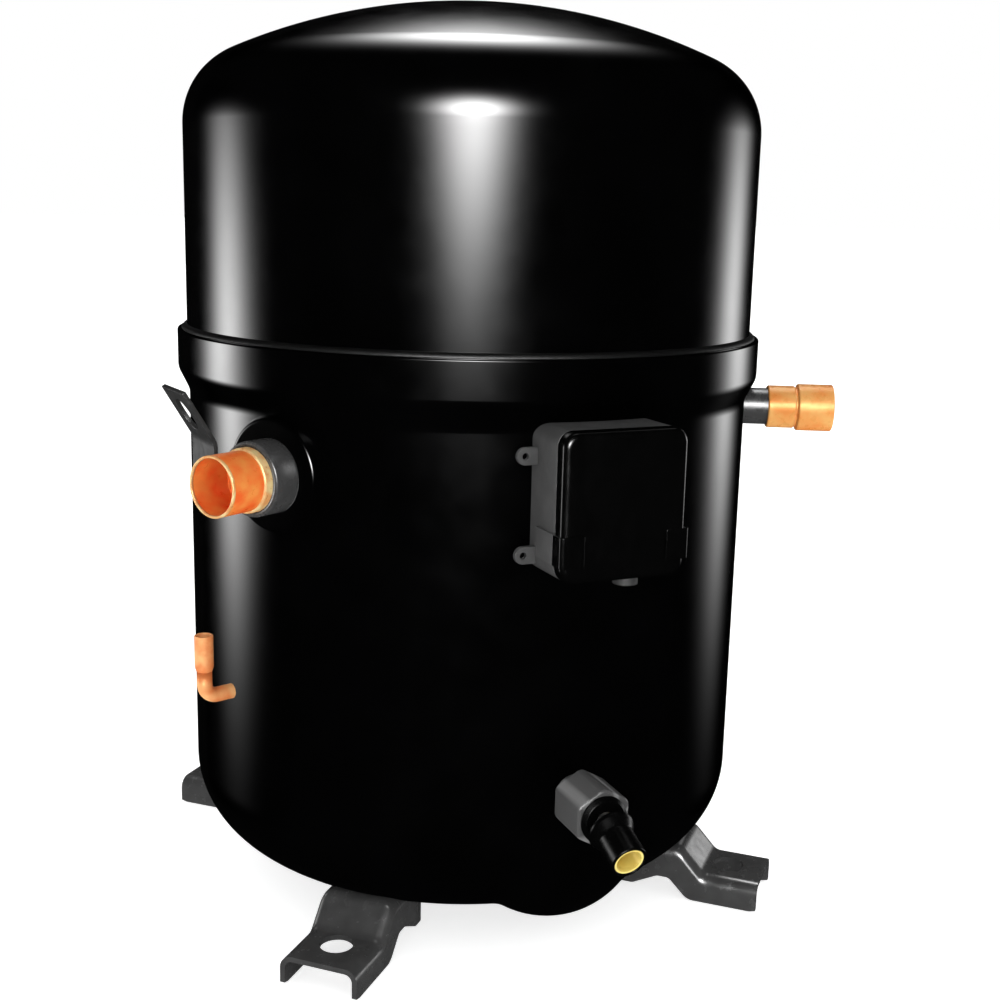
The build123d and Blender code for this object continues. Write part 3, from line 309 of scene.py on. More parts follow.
def soften(piece, width, steps=3, limit=30):
    """Round a piece's sharp edges and weight its normals towards its flat faces."""
    modify(
        piece, "BEVEL", width=width, segments=steps, limit_method="ANGLE",
        angle_limit=radians(limit), harden_normals=False, use_clamp_overlap=True,
    )
    weigh(piece)
    return piece


def weigh(piece):
    """Keep flat faces flat in the shading."""
    for polygon in piece.data.polygons:
        polygon.use_smooth = True
    modifier = piece.modifiers.new("weigh", "WEIGHTED_NORMAL")
    modifier.keep_sharp = True
    modifier.weight = 80
    return piece


# ---- Materials ----------------------------------------------------------------------------
class Finish:
    """Builds one material: textures in object coordinates, feeding a single shader."""

    def __init__(self, name, color, metallic=0.0, roughness=0.5, **extra):
        self.material = bpy.data.materials.new(name)
        self.material.use_nodes = True
        self.tree = self.material.node_tree
        self.shader = self.tree.nodes["Principled BSDF"]
        self.coords = self.tree.nodes.new("ShaderNodeTexCoord").outputs["Object"]
        self.bump = None
        self.put("Base Color", (*color, 1))
        self.put("Metallic", metallic)
        self.put("Roughness", roughness)
        for key, value in extra.items():
            self.put(key.replace("_", " "), value)

    def put(self, socket, value):
        self.shader.inputs[socket].default_value = value

    def link(self, source, target):
        self.tree.links.new(source, target)

    def noise(self, size, detail=3.0, stretch=(1, 1, 1)):
        """Noise whose features are about `size` metres across, longer along a stretched axis."""
        mapping = self.tree.nodes.new("ShaderNodeMapping")
        mapping.inputs["Scale"].default_value = stretch
        texture = self.tree.nodes.new("ShaderNodeTexNoise")
        texture.inputs["Scale"].default_value = 1 / size
        texture.inputs["Detail"].default_value = detail
        self.link(self.coords, mapping.inputs["Vector"])
        self.link(mapping.outputs["Vector"], texture.inputs["Vector"])
        return texture.outputs["Fac"]

    def colors(self, source, *stops):
        """Base colour from a ramp of (position, colour) stops."""
        ramp = self.tree.nodes.new("ShaderNodeValToRGB")
        elements = ramp.color_ramp.elements
        while len(elements) < len(stops):
            elements.new(0.5)
        for element, (position, color) in zip(elements, stops):
            element.position = position
            element.color = (*color, 1)
        self.link(source, ramp.inputs["Fac"])
        self.link(ramp.outputs["Color"], self.shader.inputs["Base Color"])
        return self

    def rough(self, source, low, high):
        """Roughness that follows a texture between two values."""
        spread = self.tree.nodes.new("ShaderNodeMapRange")
        spread.inputs["From Min"].default_value = 0.3
        spread.inputs["From Max"].default_value = 0.7
        spread.inputs["To Min"].default_value = low
        spread.inputs["To Max"].default_value = high
        self.link(source, spread.inputs["Value"])
        self.link(spread.outputs["Result"], self.shader.inputs["Roughness"])
        return self

    def relief(self, source, strength, depth):
        """A bump of that depth in metres, stacked on any bump already there."""
        bump = self.tree.nodes.new("ShaderNodeBump")
        bump.inputs["Strength"].default_value = strength
        bump.inputs["Distance"].default_value = depth
        self.link(source, bump.inputs["Height"])
        if self.bump:
            self.link(self.bump, bump.inputs["Normal"])
        self.bump = bump.outputs["Normal"]
        self.link(self.bump, self.shader.inputs["Normal"])
        return self


def paint_finish(name, roughness):
    """Gloss black enamel on rolled steel: a faint orange peel and slightly uneven gloss."""
    made = Finish(name, (0.0006, 0.0006, 0.0006), roughness=roughness)
    made.put("Specular IOR Level", 0.5)
    made.colors(made.noise(0.03), (0.3, (0.0004, 0.0004, 0.0004)), (0.7, (0.0008, 0.0008, 0.0009)))
    made.rough(made.noise(0.012, 4.0), roughness - 0.02, roughness + 0.03)
    made.relief(made.noise(0.0025, 2.0), 0.04, 0.00002)
    return made.material


def fitting_finish(name, tone, roughness, gloss=0.5):
    """Dark grey phosphated steel under thin paint, faintly mottled, with fine pits."""
    made = Finish(name, (tone, tone, tone), metallic=0.0, roughness=roughness)
    made.put("Specular IOR Level", gloss)
    dark = tone * 0.85
    light = tone * 1.15
    made.colors(made.noise(0.006, 5.0), (0.3, (dark, dark, dark)), (0.7, (light, light, light)))
    made.rough(made.noise(0.004, 4.0), roughness - 0.06, roughness + 0.08)
    made.relief(made.noise(0.0016, 3.0), 0.12, 0.00002)
    return made.material


def hexagon_edge_highlight_finish(center, faces, corners):
    """Painted hexagon steel with a painted highlight: lighter along its six corners round the fitting's
    axis, standing in for light caught on the rounded edges.
    """
    made = Finish("hexagon_steel", (faces, faces, faces), roughness=0.34)
    apart = made.tree.nodes.new("ShaderNodeSeparateXYZ")
    shifted = made.tree.nodes.new("ShaderNodeVectorMath")
    shifted.operation = "SUBTRACT"
    shifted.inputs[1].default_value = center
    made.link(made.coords, shifted.inputs[0])
    made.link(shifted.outputs["Vector"], apart.inputs["Vector"])
    source = apart.outputs["X"]
    height = apart.outputs["Z"]
    steps = (
        ("ARCTAN2", None), ("MULTIPLY", 6.0), ("SUBTRACT", pi), ("COSINE", None), ("MULTIPLY_ADD", 0.5),
    )
    for operation, value in steps:
        node = made.tree.nodes.new("ShaderNodeMath")
        node.operation = operation
        if operation == "ARCTAN2":
            made.link(height, node.inputs[0])
            made.link(source, node.inputs[1])
        else:
            made.link(source, node.inputs[0])
        if isinstance(value, float):
            node.inputs[1].default_value = value
        if operation == "MULTIPLY_ADD":
            node.inputs[2].default_value = 0.5
        source = node.outputs["Value"]
    # Painted highlight: the corner tone is lighter than the faces to stand in for light on the edges.
    made.colors(source, (0.72, (faces, faces, faces)), (0.98, (corners, corners, corners)))
    made.relief(made.noise(0.0016, 3.0), 0.12, 0.00002)
    return made.material


def copper_finish(name="copper_tube", deep=(1.0, 0.15, 0.025), pale=(1.0, 0.33, 0.07), shine=0.32):
    """Bright drawn copper, redder in patches, with fine draw lines and handling marks."""
    made = Finish(name, deep, roughness=shine)
    made.put("Specular IOR Level", 0.7)
    made.put("Specular Tint", (1.0, 0.72, 0.4, 1))
    made.colors(made.noise(0.009, 4.0), (0.36, deep), (0.62, pale))
    made.rough(made.noise(0.003, 5.0), shine - 0.06, shine + 0.1)
    made.relief(made.noise(0.0018, 2.0), 0.1, 0.00002)
    return made.material


def braze_finish():
    """The pale straw-coloured brazing metal that rings the copper joints."""
    made = Finish("braze_metal", (1.0, 0.62, 0.25), metallic=0.25, roughness=0.32)
    made.colors(made.noise(0.004, 4.0), (0.35, (0.95, 0.42, 0.14)), (0.62, (1.0, 0.76, 0.36)))
    made.rough(made.noise(0.002, 4.0), 0.26, 0.42)
    made.relief(made.noise(0.0018, 2.0), 0.15, 0.00003)
    return made.material


def moulded_finish(name, tone, roughness, grain):
    """Moulded plastic with a fine spark-eroded grain."""
    made = Finish(name, (tone, tone, tone), roughness=roughness)
    dark = tone * 0.85
    light = tone * 1.15
    made.colors(made.noise(0.01, 3.0), (0.35, (dark, dark, dark)), (0.65, (light, light, light)))
    made.rough(made.noise(0.003, 4.0), roughness - 0.03, roughness + 0.05)
    made.relief(made.noise(0.0007, 2.0), grain, 0.00003)
    return made.material


def metal_finish(name, dark, light, roughness, streak=(1, 1, 1), size=0.004):
    """Bare metal whose tool marks or casting skin run along a stretched axis."""
    made = Finish(name, dark, metallic=0.9, roughness=roughness)
    made.colors(made.noise(size, 5.0, streak), (0.3, dark), (0.7, light))
    made.rough(made.noise(size / 2, 4.0, streak), roughness - 0.08, roughness + 0.1)
    made.relief(made.noise(size / 3, 4.0, streak), 0.25, 0.00005)
    return made.material


PAINT_ROUGHNESS = 0.11
ROUND_Z = (1, 1, 14)
shell_paint = paint_finish("shell_paint", PAINT_ROUGHNESS)
weld_paint = paint_finish("weld_paint", 0.45)
foot_steel = fitting_finish("foot_steel", 0.062, 0.22, 1.0)
collar_steel = fitting_finish("collar_steel", 0.06, 0.28, 0.8)
# The hexagon's six corners carry a painted highlight, lighter than its faces.
hexagon_steel = hexagon_edge_highlight_finish((0, 0, OIL_Z), 0.085, 0.22)
lug_steel = fitting_finish("lug_steel", 0.036, 0.34)
copper = copper_finish()
copper_light = copper_finish("copper_pinch_tube", (0.86, 0.24, 0.07), (1.0, 0.5, 0.2), 0.4)
copper_yellow = copper_finish("copper_discharge", (0.98, 0.33, 0.07), (1.0, 0.5, 0.15), 0.28)
braze = braze_finish()
tray_plastic = moulded_finish("tray_plastic", 0.062, 0.5, 0.3)
gloss_plastic = moulded_finish("gloss_plastic", 0.001, 0.19, 0.03)
outlet_plastic = moulded_finish("outlet_plastic", 0.0015, 0.25, 0.03)
outlet_plastic.node_tree.nodes["Principled BSDF"].inputs["Specular IOR Level"].default_value = 0.15
by_slot = {
    "black_paint": shell_paint,
    "steel": collar_steel,
    "copper": copper,
    "black_plastic": tray_plastic,
    "gloss_black": gloss_plastic,
    "spring_steel": metal_finish("clip_steel", (0.05, 0.05, 0.052), (0.12, 0.12, 0.125), 0.25, size=0.003),
    "rubber": moulded_finish("grommet_rubber", 0.03, 0.6, 0.5),
    "brass": copper_finish("sleeve_brass", (0.9, 0.66, 0.13), (1.0, 0.84, 0.26), 0.3),
    "glass_bead": moulded_finish("seal_glass", 0.12, 0.12, 0.02),
    "grey_iron": metal_finish("grey_iron", (0.12, 0.12, 0.125), (0.24, 0.24, 0.245), 0.45),
    "shaft_steel": metal_finish("ground_steel", (0.45, 0.46, 0.48), (0.62, 0.63, 0.65), 0.2, ROUND_Z),
    "bearing_bronze": metal_finish("bearing_bronze", (0.5, 0.3, 0.1), (0.72, 0.5, 0.22), 0.3, ROUND_Z),
    "aluminium": metal_finish("cast_aluminium", (0.6, 0.61, 0.63), (0.8, 0.81, 0.83), 0.35),
    "lamination": metal_finish(
        "stacked_lamination", (0.16, 0.16, 0.18), (0.36, 0.37, 0.4), 0.4, (1, 1, 30)
    ),
    "winding": metal_finish(
        "varnished_winding", (0.42, 0.12, 0.03), (0.75, 0.3, 0.09), 0.3, (1, 1, 6), 0.0015
    ),
    "lead_sleeve": moulded_finish("lead_sleeve", 0.5, 0.5, 0.4),
}


# ---- Shells -------------------------------------------------------------------------------
def swell(center, radius, blend):
    """A shape that pushes a surface out to a ball round a point inside it, with a soft crease."""

    def push(vertex):
        away = vertex - center
        distance = away.length
        gap = abs(distance - radius)
        larger = max(distance, radius)
        if gap < blend:
            larger += (blend - gap) ** 2 / (4 * blend)
        return center + away * (larger / distance)

    return push


pocket_center = outward(POCKET_AZIMUTH) * POCKET_OFFSET + UP * POCKET_Z
bore = BELL_RADIUS - WALL
inner_radius = SHELL_RADIUS - WALL

bowl_outer = head(SHELL_RADIUS, BOWL_KNUCKLE, BOWL_CROWN, BOWL_TANGENT, -1)
bowl_inner = head(inner_radius, BOWL_KNUCKLE - WALL, BOWL_CROWN - WALL, BOWL_TANGENT, -1)
wall_outer = rounded([
    (SHELL_RADIUS, BOWL_TANGENT, 0),
    (SHELL_RADIUS, TAPER_LOW, 9 * MM),
    (BELL_RADIUS, TAPER_TOP, 7 * MM),
    (BELL_RADIUS, BELL_TOP, 0.7 * MM),
    (bore + 0.02 * MM, BELL_TOP, 0),
], 8)
wall_inner = rounded([
    (bore + 0.02 * MM, SEAT, 0),
    (inner_radius, SEAT, 1 * MM),
    (inner_radius, BOWL_TANGENT, 0),
])
outer_rows = fill(bowl_outer + wall_outer[1:], 2.6 * MM)
inner_rows = fill(wall_inner + bowl_inner[::-1][1:], 4 * MM)
outer_part = lathe(
    outer_rows, segments=SHELL_TURNS,
    shape=swell(pocket_center, POCKET_RADIUS, POCKET_BLEND),
)
inner_part = lathe(
    inner_rows, segments=SHELL_TURNS,
    shape=swell(pocket_center, POCKET_RADIUS - WALL, POCKET_BLEND),
)
bore_part = lathe([outer_rows[-1], inner_rows[0]], segments=SHELL_TURNS)
lower = new_piece("lower_shell_body", *join([outer_part, bore_part, inner_part]), shell_paint)
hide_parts("lower_shell")
weigh(lower)

upper_inner = UPPER_RADIUS - WALL
dome_outer = head(UPPER_RADIUS, DOME_KNUCKLE, DOME_CROWN, DOME_TANGENT, 1)
dome_inner = head(upper_inner, DOME_KNUCKLE - WALL, DOME_CROWN - WALL, DOME_TANGENT, 1)
skirt = rounded([
    (UPPER_RADIUS, DOME_TANGENT, 0),
    (UPPER_RADIUS, SEAT + FRAME_RIM, 0.5 * MM),
    (upper_inner, SEAT + FRAME_RIM, 0.5 * MM),
    (upper_inner, DOME_TANGENT, 0),
])
upper_rows = fill(dome_outer + skirt[1:-1] + dome_inner[::-1], 4 * MM)
upper = new_piece("upper_shell_body", *lathe(upper_rows, segments=SHELL_TURNS), shell_paint)
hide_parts("upper_shell")
weigh(upper)


def ripple(vertex):
    """The fine overlapping scales of a machine-laid weld bead."""
    turn = atan2(vertex.y, vertex.x)
    radius = hypot(vertex.x, vertex.y)
    lift = max(0.0, radius - UPPER_RADIUS) * WELD_RIPPLE * sin(turn * WELD_SCALES)
    return Vector((vertex.x * (1 + lift / radius), vertex.y * (1 + lift / radius), vertex.z))


WELD_SCALES = 180
WELD_RIPPLE = 0.012
weld_size = weld_high.z - weld_low.z
bead = [Vector((UPPER_RADIUS - 0.3 * MM, BELL_TOP - 0.3 * MM))]
for step in range(9):
    angle = pi / 2 * step / 8
    reach = weld_size * 0.93
    bead.append(Vector((UPPER_RADIUS + reach * sin(angle), BELL_TOP + reach * cos(angle))))
bead_mesh = lathe(bead, segments=WELD_SCALES * 6, closed=True, shape=ripple)
weld = new_piece("girth_weld_bead", *bead_mesh, weld_paint)
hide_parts("girth_weld")

# The raised seats pressed out of the wall for the suction line and the terminal.
suction_place = wall_place(SUCTION_AZIMUTH, 0, SUCTION_Z)
seat_rows = rounded([
    (26.0 * MM, 116 * MM, 0),
    (25.0 * MM, 124.5 * MM, 2 * MM),
    (22.6 * MM, SUCTION_SEAT, 1.8 * MM),
    (15.05 * MM, SUCTION_SEAT, 0.3 * MM),
    (15.05 * MM, 116 * MM, 0),
], 6)
seat_mesh = lathe(seat_rows, suction_place, 128, closed=True)
suction_seat = new_piece("suction_seat", *seat_mesh, shell_paint)
weigh(suction_seat)
terminal_place = wall_place(0, 0, TERMINAL_Z)
pad_rows = rounded([
    (24.0 * MM, 118 * MM, 0),
    (24.0 * MM, 128.5 * MM, 0.8 * MM),
    (17.1 * MM, 128.5 * MM, 0.3 * MM),
    (17.1 * MM, 118 * MM, 0),
])
pad_mesh = lathe(pad_rows, terminal_place, 96, closed=True)
terminal_pad = new_piece("terminal_pad", *pad_mesh, shell_paint)
weigh(terminal_pad)


# ---- Turned fittings ----------------------------------------------------------------------
def turned(name, node, material, rows, place, segments=96, body="shell"):
    """A ring-shaped fitting: a closed profile of (radius, along, round) turned about an axis."""
    profile = rounded(rows + rows[:1], 5)[:-1]
    piece = new_piece(name, *lathe(profile, place, segments, closed=True), material, body)
    if node:
        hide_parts(node)
    weigh(piece)
    return piece


def mm_rows(*rows):
    """Profile rows given in millimetres."""
    return [(radius * MM, along * MM, turn * MM) for radius, along, turn in rows]


turned(
    "suction_collar_ring", "suction_collar", collar_steel,
    mm_rows((12.05, 121, 0), (15.0, 121, 0), (15.0, 141.5, 0.9), (12.05, 141.5, 0)), suction_place,
)
turned(
    "suction_copper", "suction_tube", copper,
    mm_rows(
        (9.65, 121, 0), (12.05, 121, 0), (12.05, 161.3, 0.45), (11.15, 161.3, 0.4),
        (11.15, 142.3, 0.3), (9.65, 142.3, 0.3),
    ),
    suction_place,
)
turned(
    "suction_braze", None, braze,
    mm_rows((11.9, 141.2, 0), (12.9, 141.2, 0.2), (12.9, 145.5, 1.0), (11.9, 145.5, 0)), suction_place,
)
turned(
    "suction_lip", None, braze,
    mm_rows((11.1, 160.2, 0), (12.1, 160.2, 0.2), (12.1, 161.35, 0.4), (11.1, 161.35, 0.4)), suction_place,
)

discharge_place = wall_place(DISCHARGE_AZIMUTH, 0, DISCHARGE_Z)
turned(
    "discharge_neck", "discharge_stub", collar_steel,
    mm_rows((6.4, 121, 0), (8.3, 121, 0), (8.3, 146, 0.3), (6.4, 146, 0.3)), discharge_place,
)
turned(
    "discharge_copper", "discharge_tube", copper_yellow,
    mm_rows(
        (8.35, 138, 0), (9.65, 138, 0.8), (9.65, 150.2, 0.4), (9.05, 150.6, 0.2), (9.05, 151.2, 0.2),
        (10.67, 151.8, 0.8), (10.67, 167.6, 0.5), (9.6, 167.6, 0.4), (9.6, 152.9, 0.3),
        (6.4, 152.9, 0.3), (6.4, 146.1, 0), (8.35, 146.1, 0),
    ),
    discharge_place,
)

# The pinch tube: a swept elbow, then a wider sleeve slid over its open end.
out = outward(PROCESS_AZIMUTH)
PROCESS_RADIUS = 3.2 * MM
PROCESS_ELBOW = 5.6 * MM
route = []
for step in range(5):
    route.append(out * (121 * MM + (PROCESS_STAND - PROCESS_ELBOW - 121 * MM) * step / 4) + UP * PROCESS_Z)
for step in range(1, 13):
    angle = pi / 2 * step / 12
    reach = PROCESS_STAND - PROCESS_ELBOW + PROCESS_ELBOW * sin(angle)
    route.append(out * reach + UP * (PROCESS_Z + PROCESS_ELBOW * (1 - cos(angle))))
route.append(out * PROCESS_STAND + UP * PROCESS_SWAGE)


def sweep(points, radius, segments=32):
    """A round bar along points that all lie in one upright plane."""
    verts = []
    side = UP.cross(out).normalized()
    for index, point in enumerate(points):
        ahead = points[min(index + 1, len(points) - 1)] - points[max(index - 1, 0)]
        ahead.normalize()
        normal = ahead.cross(side).normalized()
        for turn in range(segments):
            angle = 2 * pi * turn / segments
            verts.append(point + side * radius * cos(angle) + normal * radius * sin(angle))
    faces = []
    for row in range(len(points) - 1):
        for turn in range(segments):
            beside = (turn + 1) % segments
            low = row * segments
            faces.append((low + turn, low + beside, low + segments + beside, low + segments + turn))
    faces.append(tuple(range(segments))[::-1])
    faces.append(tuple(range(len(verts) - segments, len(verts))))
    return verts, faces


elbow = new_piece("process_elbow", *sweep(route, PROCESS_RADIUS), copper_light)
weigh(elbow)
process_place = Matrix.Translation(out * PROCESS_STAND)
sleeve = turned(
    "process_sleeve", "process_tube", copper_light,
    mm_rows(
        (0.05, 106.2, 0), (3.3, 106.0, 0.4), (3.95, 108.0, 0.8), (3.95, 121.7, 0.4), (3.2, 121.7, 0.3),
        (3.2, 108.6, 0.3), (0.05, 108.6, 0),
    ),
    process_place, 48,
)


# ---- Lifting lug --------------------------------------------------------------------------
def strip(path, thickness, width, place_across, place_out):
    """A bent strap: an outline of (out, up) points thickened inward, extruded across."""
    outer = path
    inner = []
    for index, point in enumerate(path):
        ahead = path[min(index + 1, len(path) - 1)] - path[max(index - 1, 0)]
        normal = Vector((ahead.y, -ahead.x)).normalized()
        inner.append(point - normal * thickness)
    outline = outer + inner[::-1]
    rows = [place_out * p.x + UP * p.y for p in outline]
    count = len(rows)
    verts = [p - place_across * width / 2 for p in rows] + [p + place_across * width / 2 for p in rows]
    faces = []
    half = len(path)
    for index in range(count):
        after = (index + 1) % count
        faces.append((index, after, count + after, count + index))
    for index in range(half - 1):
        a, b = index, index + 1
        c, d = count - 2 - index, count - 1 - index
        faces.append((a, b, c, d))
        faces.append((count + d, count + c, count + b, count + a))
    return verts, faces


def cut(piece, verts, faces):
    """Subtract a closed shape from a piece."""
    mesh = bpy.data.meshes.new("cutter")
    mesh.from_pydata([tuple(v) for v in verts], [], faces)
    work = bmesh.new()
    work.from_mesh(mesh)
    bmesh.ops.recalc_face_normals(work, faces=work.faces)
    work.to_mesh(mesh)
    work.free()
    cutter = bpy.data.objects.new("cutter", mesh)
    bpy.context.scene.collection.objects.link(cutter)
    modify(piece, "BOOLEAN", operation="DIFFERENCE", object=cutter, solver="EXACT")
    bpy.data.objects.remove(cutter)


lug_out = outward(LUG_AZIMUTH)
lug_across = Vector((cos(radians(LUG_AZIMUTH)), sin(radians(LUG_AZIMUTH)), 0))
lean = radians(LUG_LEAN)
bend_shift = LUG_SHEET * tan(lean / 2)
face = SHELL_RADIUS + LUG_SHEET - LUG_CONTACT
tip_out = face + LUG_LENGTH * sin(lean) - LUG_SHEET * (1 - cos(lean))
tip_up = LUG_BEND + LUG_LENGTH * cos(lean) - LUG_SHEET * sin(lean)
lug_path = rounded([
    (face, LUG_LOW, 0),
    (face, LUG_BEND - bend_shift, 6 * MM),
    (tip_out, tip_up, 0),
], 10)
lug = new_piece("lug_strap", *strip(lug_path, LUG_THIN, LUG_WIDTH, lug_across, lug_out), lug_steel)
lug_normal = lug_out * cos(lean) - UP * sin(lean)
lug_along = lug_out * sin(lean) + UP * cos(lean)
slot_center = lug_out * tip_out + UP * tip_up - lug_along * LUG_SLOT_INSET
lug_frame = Matrix((lug_across, lug_along, lug_normal)).transposed().to_4x4()
lug_frame.translation = slot_center
slot_outline = []
for side in (1, -1):
    for step in range(13):
        angle = pi * step / 12 + (0 if side > 0 else pi)
        spread = LUG_SLOT_WIDTH / 2
        slot_outline.append((spread * cos(angle), spread * sin(angle) + side * LUG_SLOT_RUN / 2))
cut(lug, *prism(slot_outline, -2 * LUG_SHEET, 2 * LUG_SHEET, lug_frame))
soften(lug, 0.3 * MM)
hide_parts("lifting_lug")

# ---- Oil fitting --------------------------------------------------------------------------
oil_place = wall_place(FRONT_AZIMUTH, 0, OIL_Z)
flats = 11.1 * MM
HEX_ROUND = 3.4 * MM
HEX_BACK = 131.5 * MM
HEX_FRONT = 153.7 * MM
hexagon = []
for corner in range(6):
    angle = radians(30 + 60 * corner)
    point = Vector((cos(angle), sin(angle))) * flats / cos(radians(30))
    hexagon.append((point.x, point.y, HEX_ROUND))
closed_hexagon = rounded([hexagon[-1]] + hexagon + [hexagon[0]], 4)[1:-1]
hex_body = new_piece(
    "oil_fitting_hex", *prism(closed_hexagon, HEX_BACK, HEX_FRONT, oil_place), hexagon_steel
)
soften(hex_body, 1.3 * MM, 4, 50)
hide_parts("oil_fitting")
turned(
    "oil_fitting_collar", None, outlet_plastic,
    mm_rows((4.0, 150, 0), (9.8, 150, 0), (9.8, 154.2, 0.4), (8.3, 155.7, 0.5), (4.0, 155.7, 0.3)),
    oil_place, 64,
)
turned(
    "oil_fitting_neck", None, collar_steel,
    mm_rows((4.0, 121, 0), (8.3, 121, 0), (8.3, 134, 0), (4.0, 134, 0)), oil_place, 64,
)
outlet_root = outward(FRONT_AZIMUTH) * 155.7 * MM + UP * OIL_Z
outlet_place = axis_place(outlet_root, outward(FRONT_AZIMUTH) * cos(OUTLET_TILT) - UP * sin(OUTLET_TILT))
turned(
    "oil_outlet_hose", "oil_outlet", outlet_plastic,
    mm_rows(
        (4.4, 3.0, 0), (9.4, 3.6, 1.2), (9.4, 5.6, 2.0), (7.3, 9.6, 2.5), (7.3, 22, 0.6), (6.1, 22, 0.4),
        (6.1, 10, 0.2), (4.4, 10, 0.2),
    ),
    outlet_place, 72,
)
turned(
    "outlet_sleeve_ring", "outlet_sleeve", by_slot["brass"],
    mm_rows((5.1, 10.05, 0), (6.1, 10.05, 0), (6.1, 21.6, 0.3), (5.1, 21.6, 0.3)), outlet_place, 64,
)


# ---- Terminal box, cover and clips --------------------------------------------------------
def frame_outline(width, height, corner, steps=10):
    """A rounded rectangle about the origin."""
    points = []
    quarters = ((1, 1, 0), (-1, 1, 90), (-1, -1, 180), (1, -1, 270))
    for sign_x, sign_y, start in quarters:
        for step in range(steps + 1):
            angle = radians(start + 90 * step / steps)
            x = sign_x * (width / 2 - corner) + corner * cos(angle)
            y = sign_y * (height / 2 - corner) + corner * sin(angle)
            points.append(Vector((x, y)))
    return points


def ring_wall(sections, place, cap_last=False):
    """Stacked outlines of equal length, each (outline, along), bridged and closed into a loop."""
    verts = []
    count = len(sections[0][0])
    for outline, along in sections:
        verts += [place @ Vector((p.x, p.y, along)) for p in outline]
    faces = []
    rows = len(sections)
    for row in range(rows if not cap_last else rows - 1):
        following = (row + 1) % rows
        for index in range(count):
            after = (index + 1) % count
            faces.append((
                row * count + index, row * count + after,
                following * count + after, following * count + index,
            ))
    if cap_last:
        faces.append(tuple(range(count))[::-1])
        faces.append(tuple(range((rows - 1) * count, rows * count)))
    return verts, faces


box_place = wall_place(0, 0, TERMINAL_Z)
BOX_WIDTH = cover_high.x - cover_low.x
BOX_HEIGHT = cover_high.z - cover_low.z
BOX_FRONT = -box_low.y
COVER_FRONT = -cover_low.y


def inset(amount):
    """The box outline moved inward."""
    return frame_outline(BOX_WIDTH - 2 * amount, BOX_HEIGHT - 2 * amount, BOX_CORNER - amount)


tray = ring_wall([
    (inset(0.0), 112 * MM), (inset(0.0), BOX_FRONT - 0.5 * MM), (inset(0.15 * MM), BOX_FRONT - 0.15 * MM),
    (inset(0.5 * MM), BOX_FRONT), (inset(BOX_WALL - 0.4 * MM), BOX_FRONT),
    (inset(BOX_WALL), BOX_FRONT - 0.4 * MM), (inset(BOX_WALL), 112 * MM),
], box_place)
tray_piece = new_piece("terminal_tray", *tray, tray_plastic)
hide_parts("terminal_box")
weigh(tray_piece)


def tab_ring(center_z):
    """A screw ear: a ring of flat sheet with a short neck back to the box."""
    outline = []
    for step in range(25):
        angle = radians(90 + 180 * step / 24)
        outline.append((EAR_X + EAR_RADIUS * cos(angle), center_z + EAR_RADIUS * sin(angle)))
    outline += [(EAR_X + 6 * MM, center_z - EAR_RADIUS), (EAR_X + 6 * MM, center_z + EAR_RADIUS)]
    return outline


EAR_RADIUS = 3.4 * MM
EAR_HOLE = 1.35 * MM
EAR_SHEET = 2 * MM
EAR_BACK = 127 * MM
EAR_HEIGHTS = (169.1 * MM, 207.7 * MM)
EAR_X = -(BOX_WIDTH / 2 + 5 * MM)
ear_place = wall_place(0, 0, 0)
for index, ear_z in enumerate(EAR_HEIGHTS):
    ear_mesh = prism(tab_ring(ear_z), EAR_BACK, EAR_BACK + EAR_SHEET, ear_place)
    ear = new_piece(f"terminal_ear_{index + 1}", *ear_mesh, tray_plastic)
    hole = circle(EAR_HOLE, 32, EAR_X, ear_z)
    cut(ear, *prism(hole, EAR_BACK - 7 * MM, EAR_BACK + 8 * MM, ear_place))
    soften(ear, 0.3 * MM)

LIP_GAP = 0.3 * MM
LIP_SHEET = 1.3 * MM
LIP_DEPTH = 4.5 * MM
cover_sections = [
    (inset(BOX_WALL), BOX_FRONT + 0.1 * MM),
    (inset(0.3 * MM), BOX_FRONT + 0.1 * MM),
    (inset(0.0), BOX_FRONT + 0.5 * MM),
]
for step in range(9):
    angle = pi / 2 * step / 8
    cover_sections.append((
        inset(COVER_ROUND * (1 - cos(angle))), COVER_FRONT - COVER_ROUND * (1 - sin(angle)),
    ))
cover_sections.append((inset(COVER_ROUND + 0.8 * MM), COVER_FRONT))
back_sections = [
    (inset(BOX_WALL + LIP_GAP + LIP_SHEET), COVER_FRONT - BOX_WALL),
    (inset(BOX_WALL + LIP_GAP + LIP_SHEET), BOX_FRONT - LIP_DEPTH),
    (inset(BOX_WALL + LIP_GAP), BOX_FRONT - LIP_DEPTH),
    (inset(BOX_WALL + LIP_GAP), BOX_FRONT + 0.1 * MM),
]
cover_mesh = ring_wall(back_sections + cover_sections, box_place, cap_last=True)
cover = new_piece("terminal_cover_lid", *cover_mesh, gloss_plastic, "cover")
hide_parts("terminal_cover")
weigh(cover)

CLIP_SHEET = 1.0 * MM
CLIP_TURN = 9 * MM
CLIP_ROOT = -131 * MM
CLIP_JOINT = -(BOX_FRONT + 0.4 * MM)
CLIP_HALF = 6 * MM
CLIP_ROUND = 0.6 * MM
CLIP_GAP = 0.05 * MM


def clip_side(edge, side, start, reach):
    """A clip's outline from above: a bar along the box's side, then a hook over the cover."""
    turn_y = -COVER_FRONT
    outer = [
        (edge + side * CLIP_SHEET, start, 0),
        (edge + side * CLIP_SHEET, turn_y - CLIP_SHEET, CLIP_ROUND + CLIP_SHEET),
        (edge - side * reach, turn_y - CLIP_SHEET, 0),
    ]
    inner = [
        (edge, start, 0),
        (edge, turn_y - CLIP_GAP, CLIP_ROUND),
        (edge - side * reach, turn_y - CLIP_GAP, 0),
    ]
    return fill(rounded(outer, 8), 3 * MM) + fill(rounded(inner, 8), 3 * MM)[::-1]


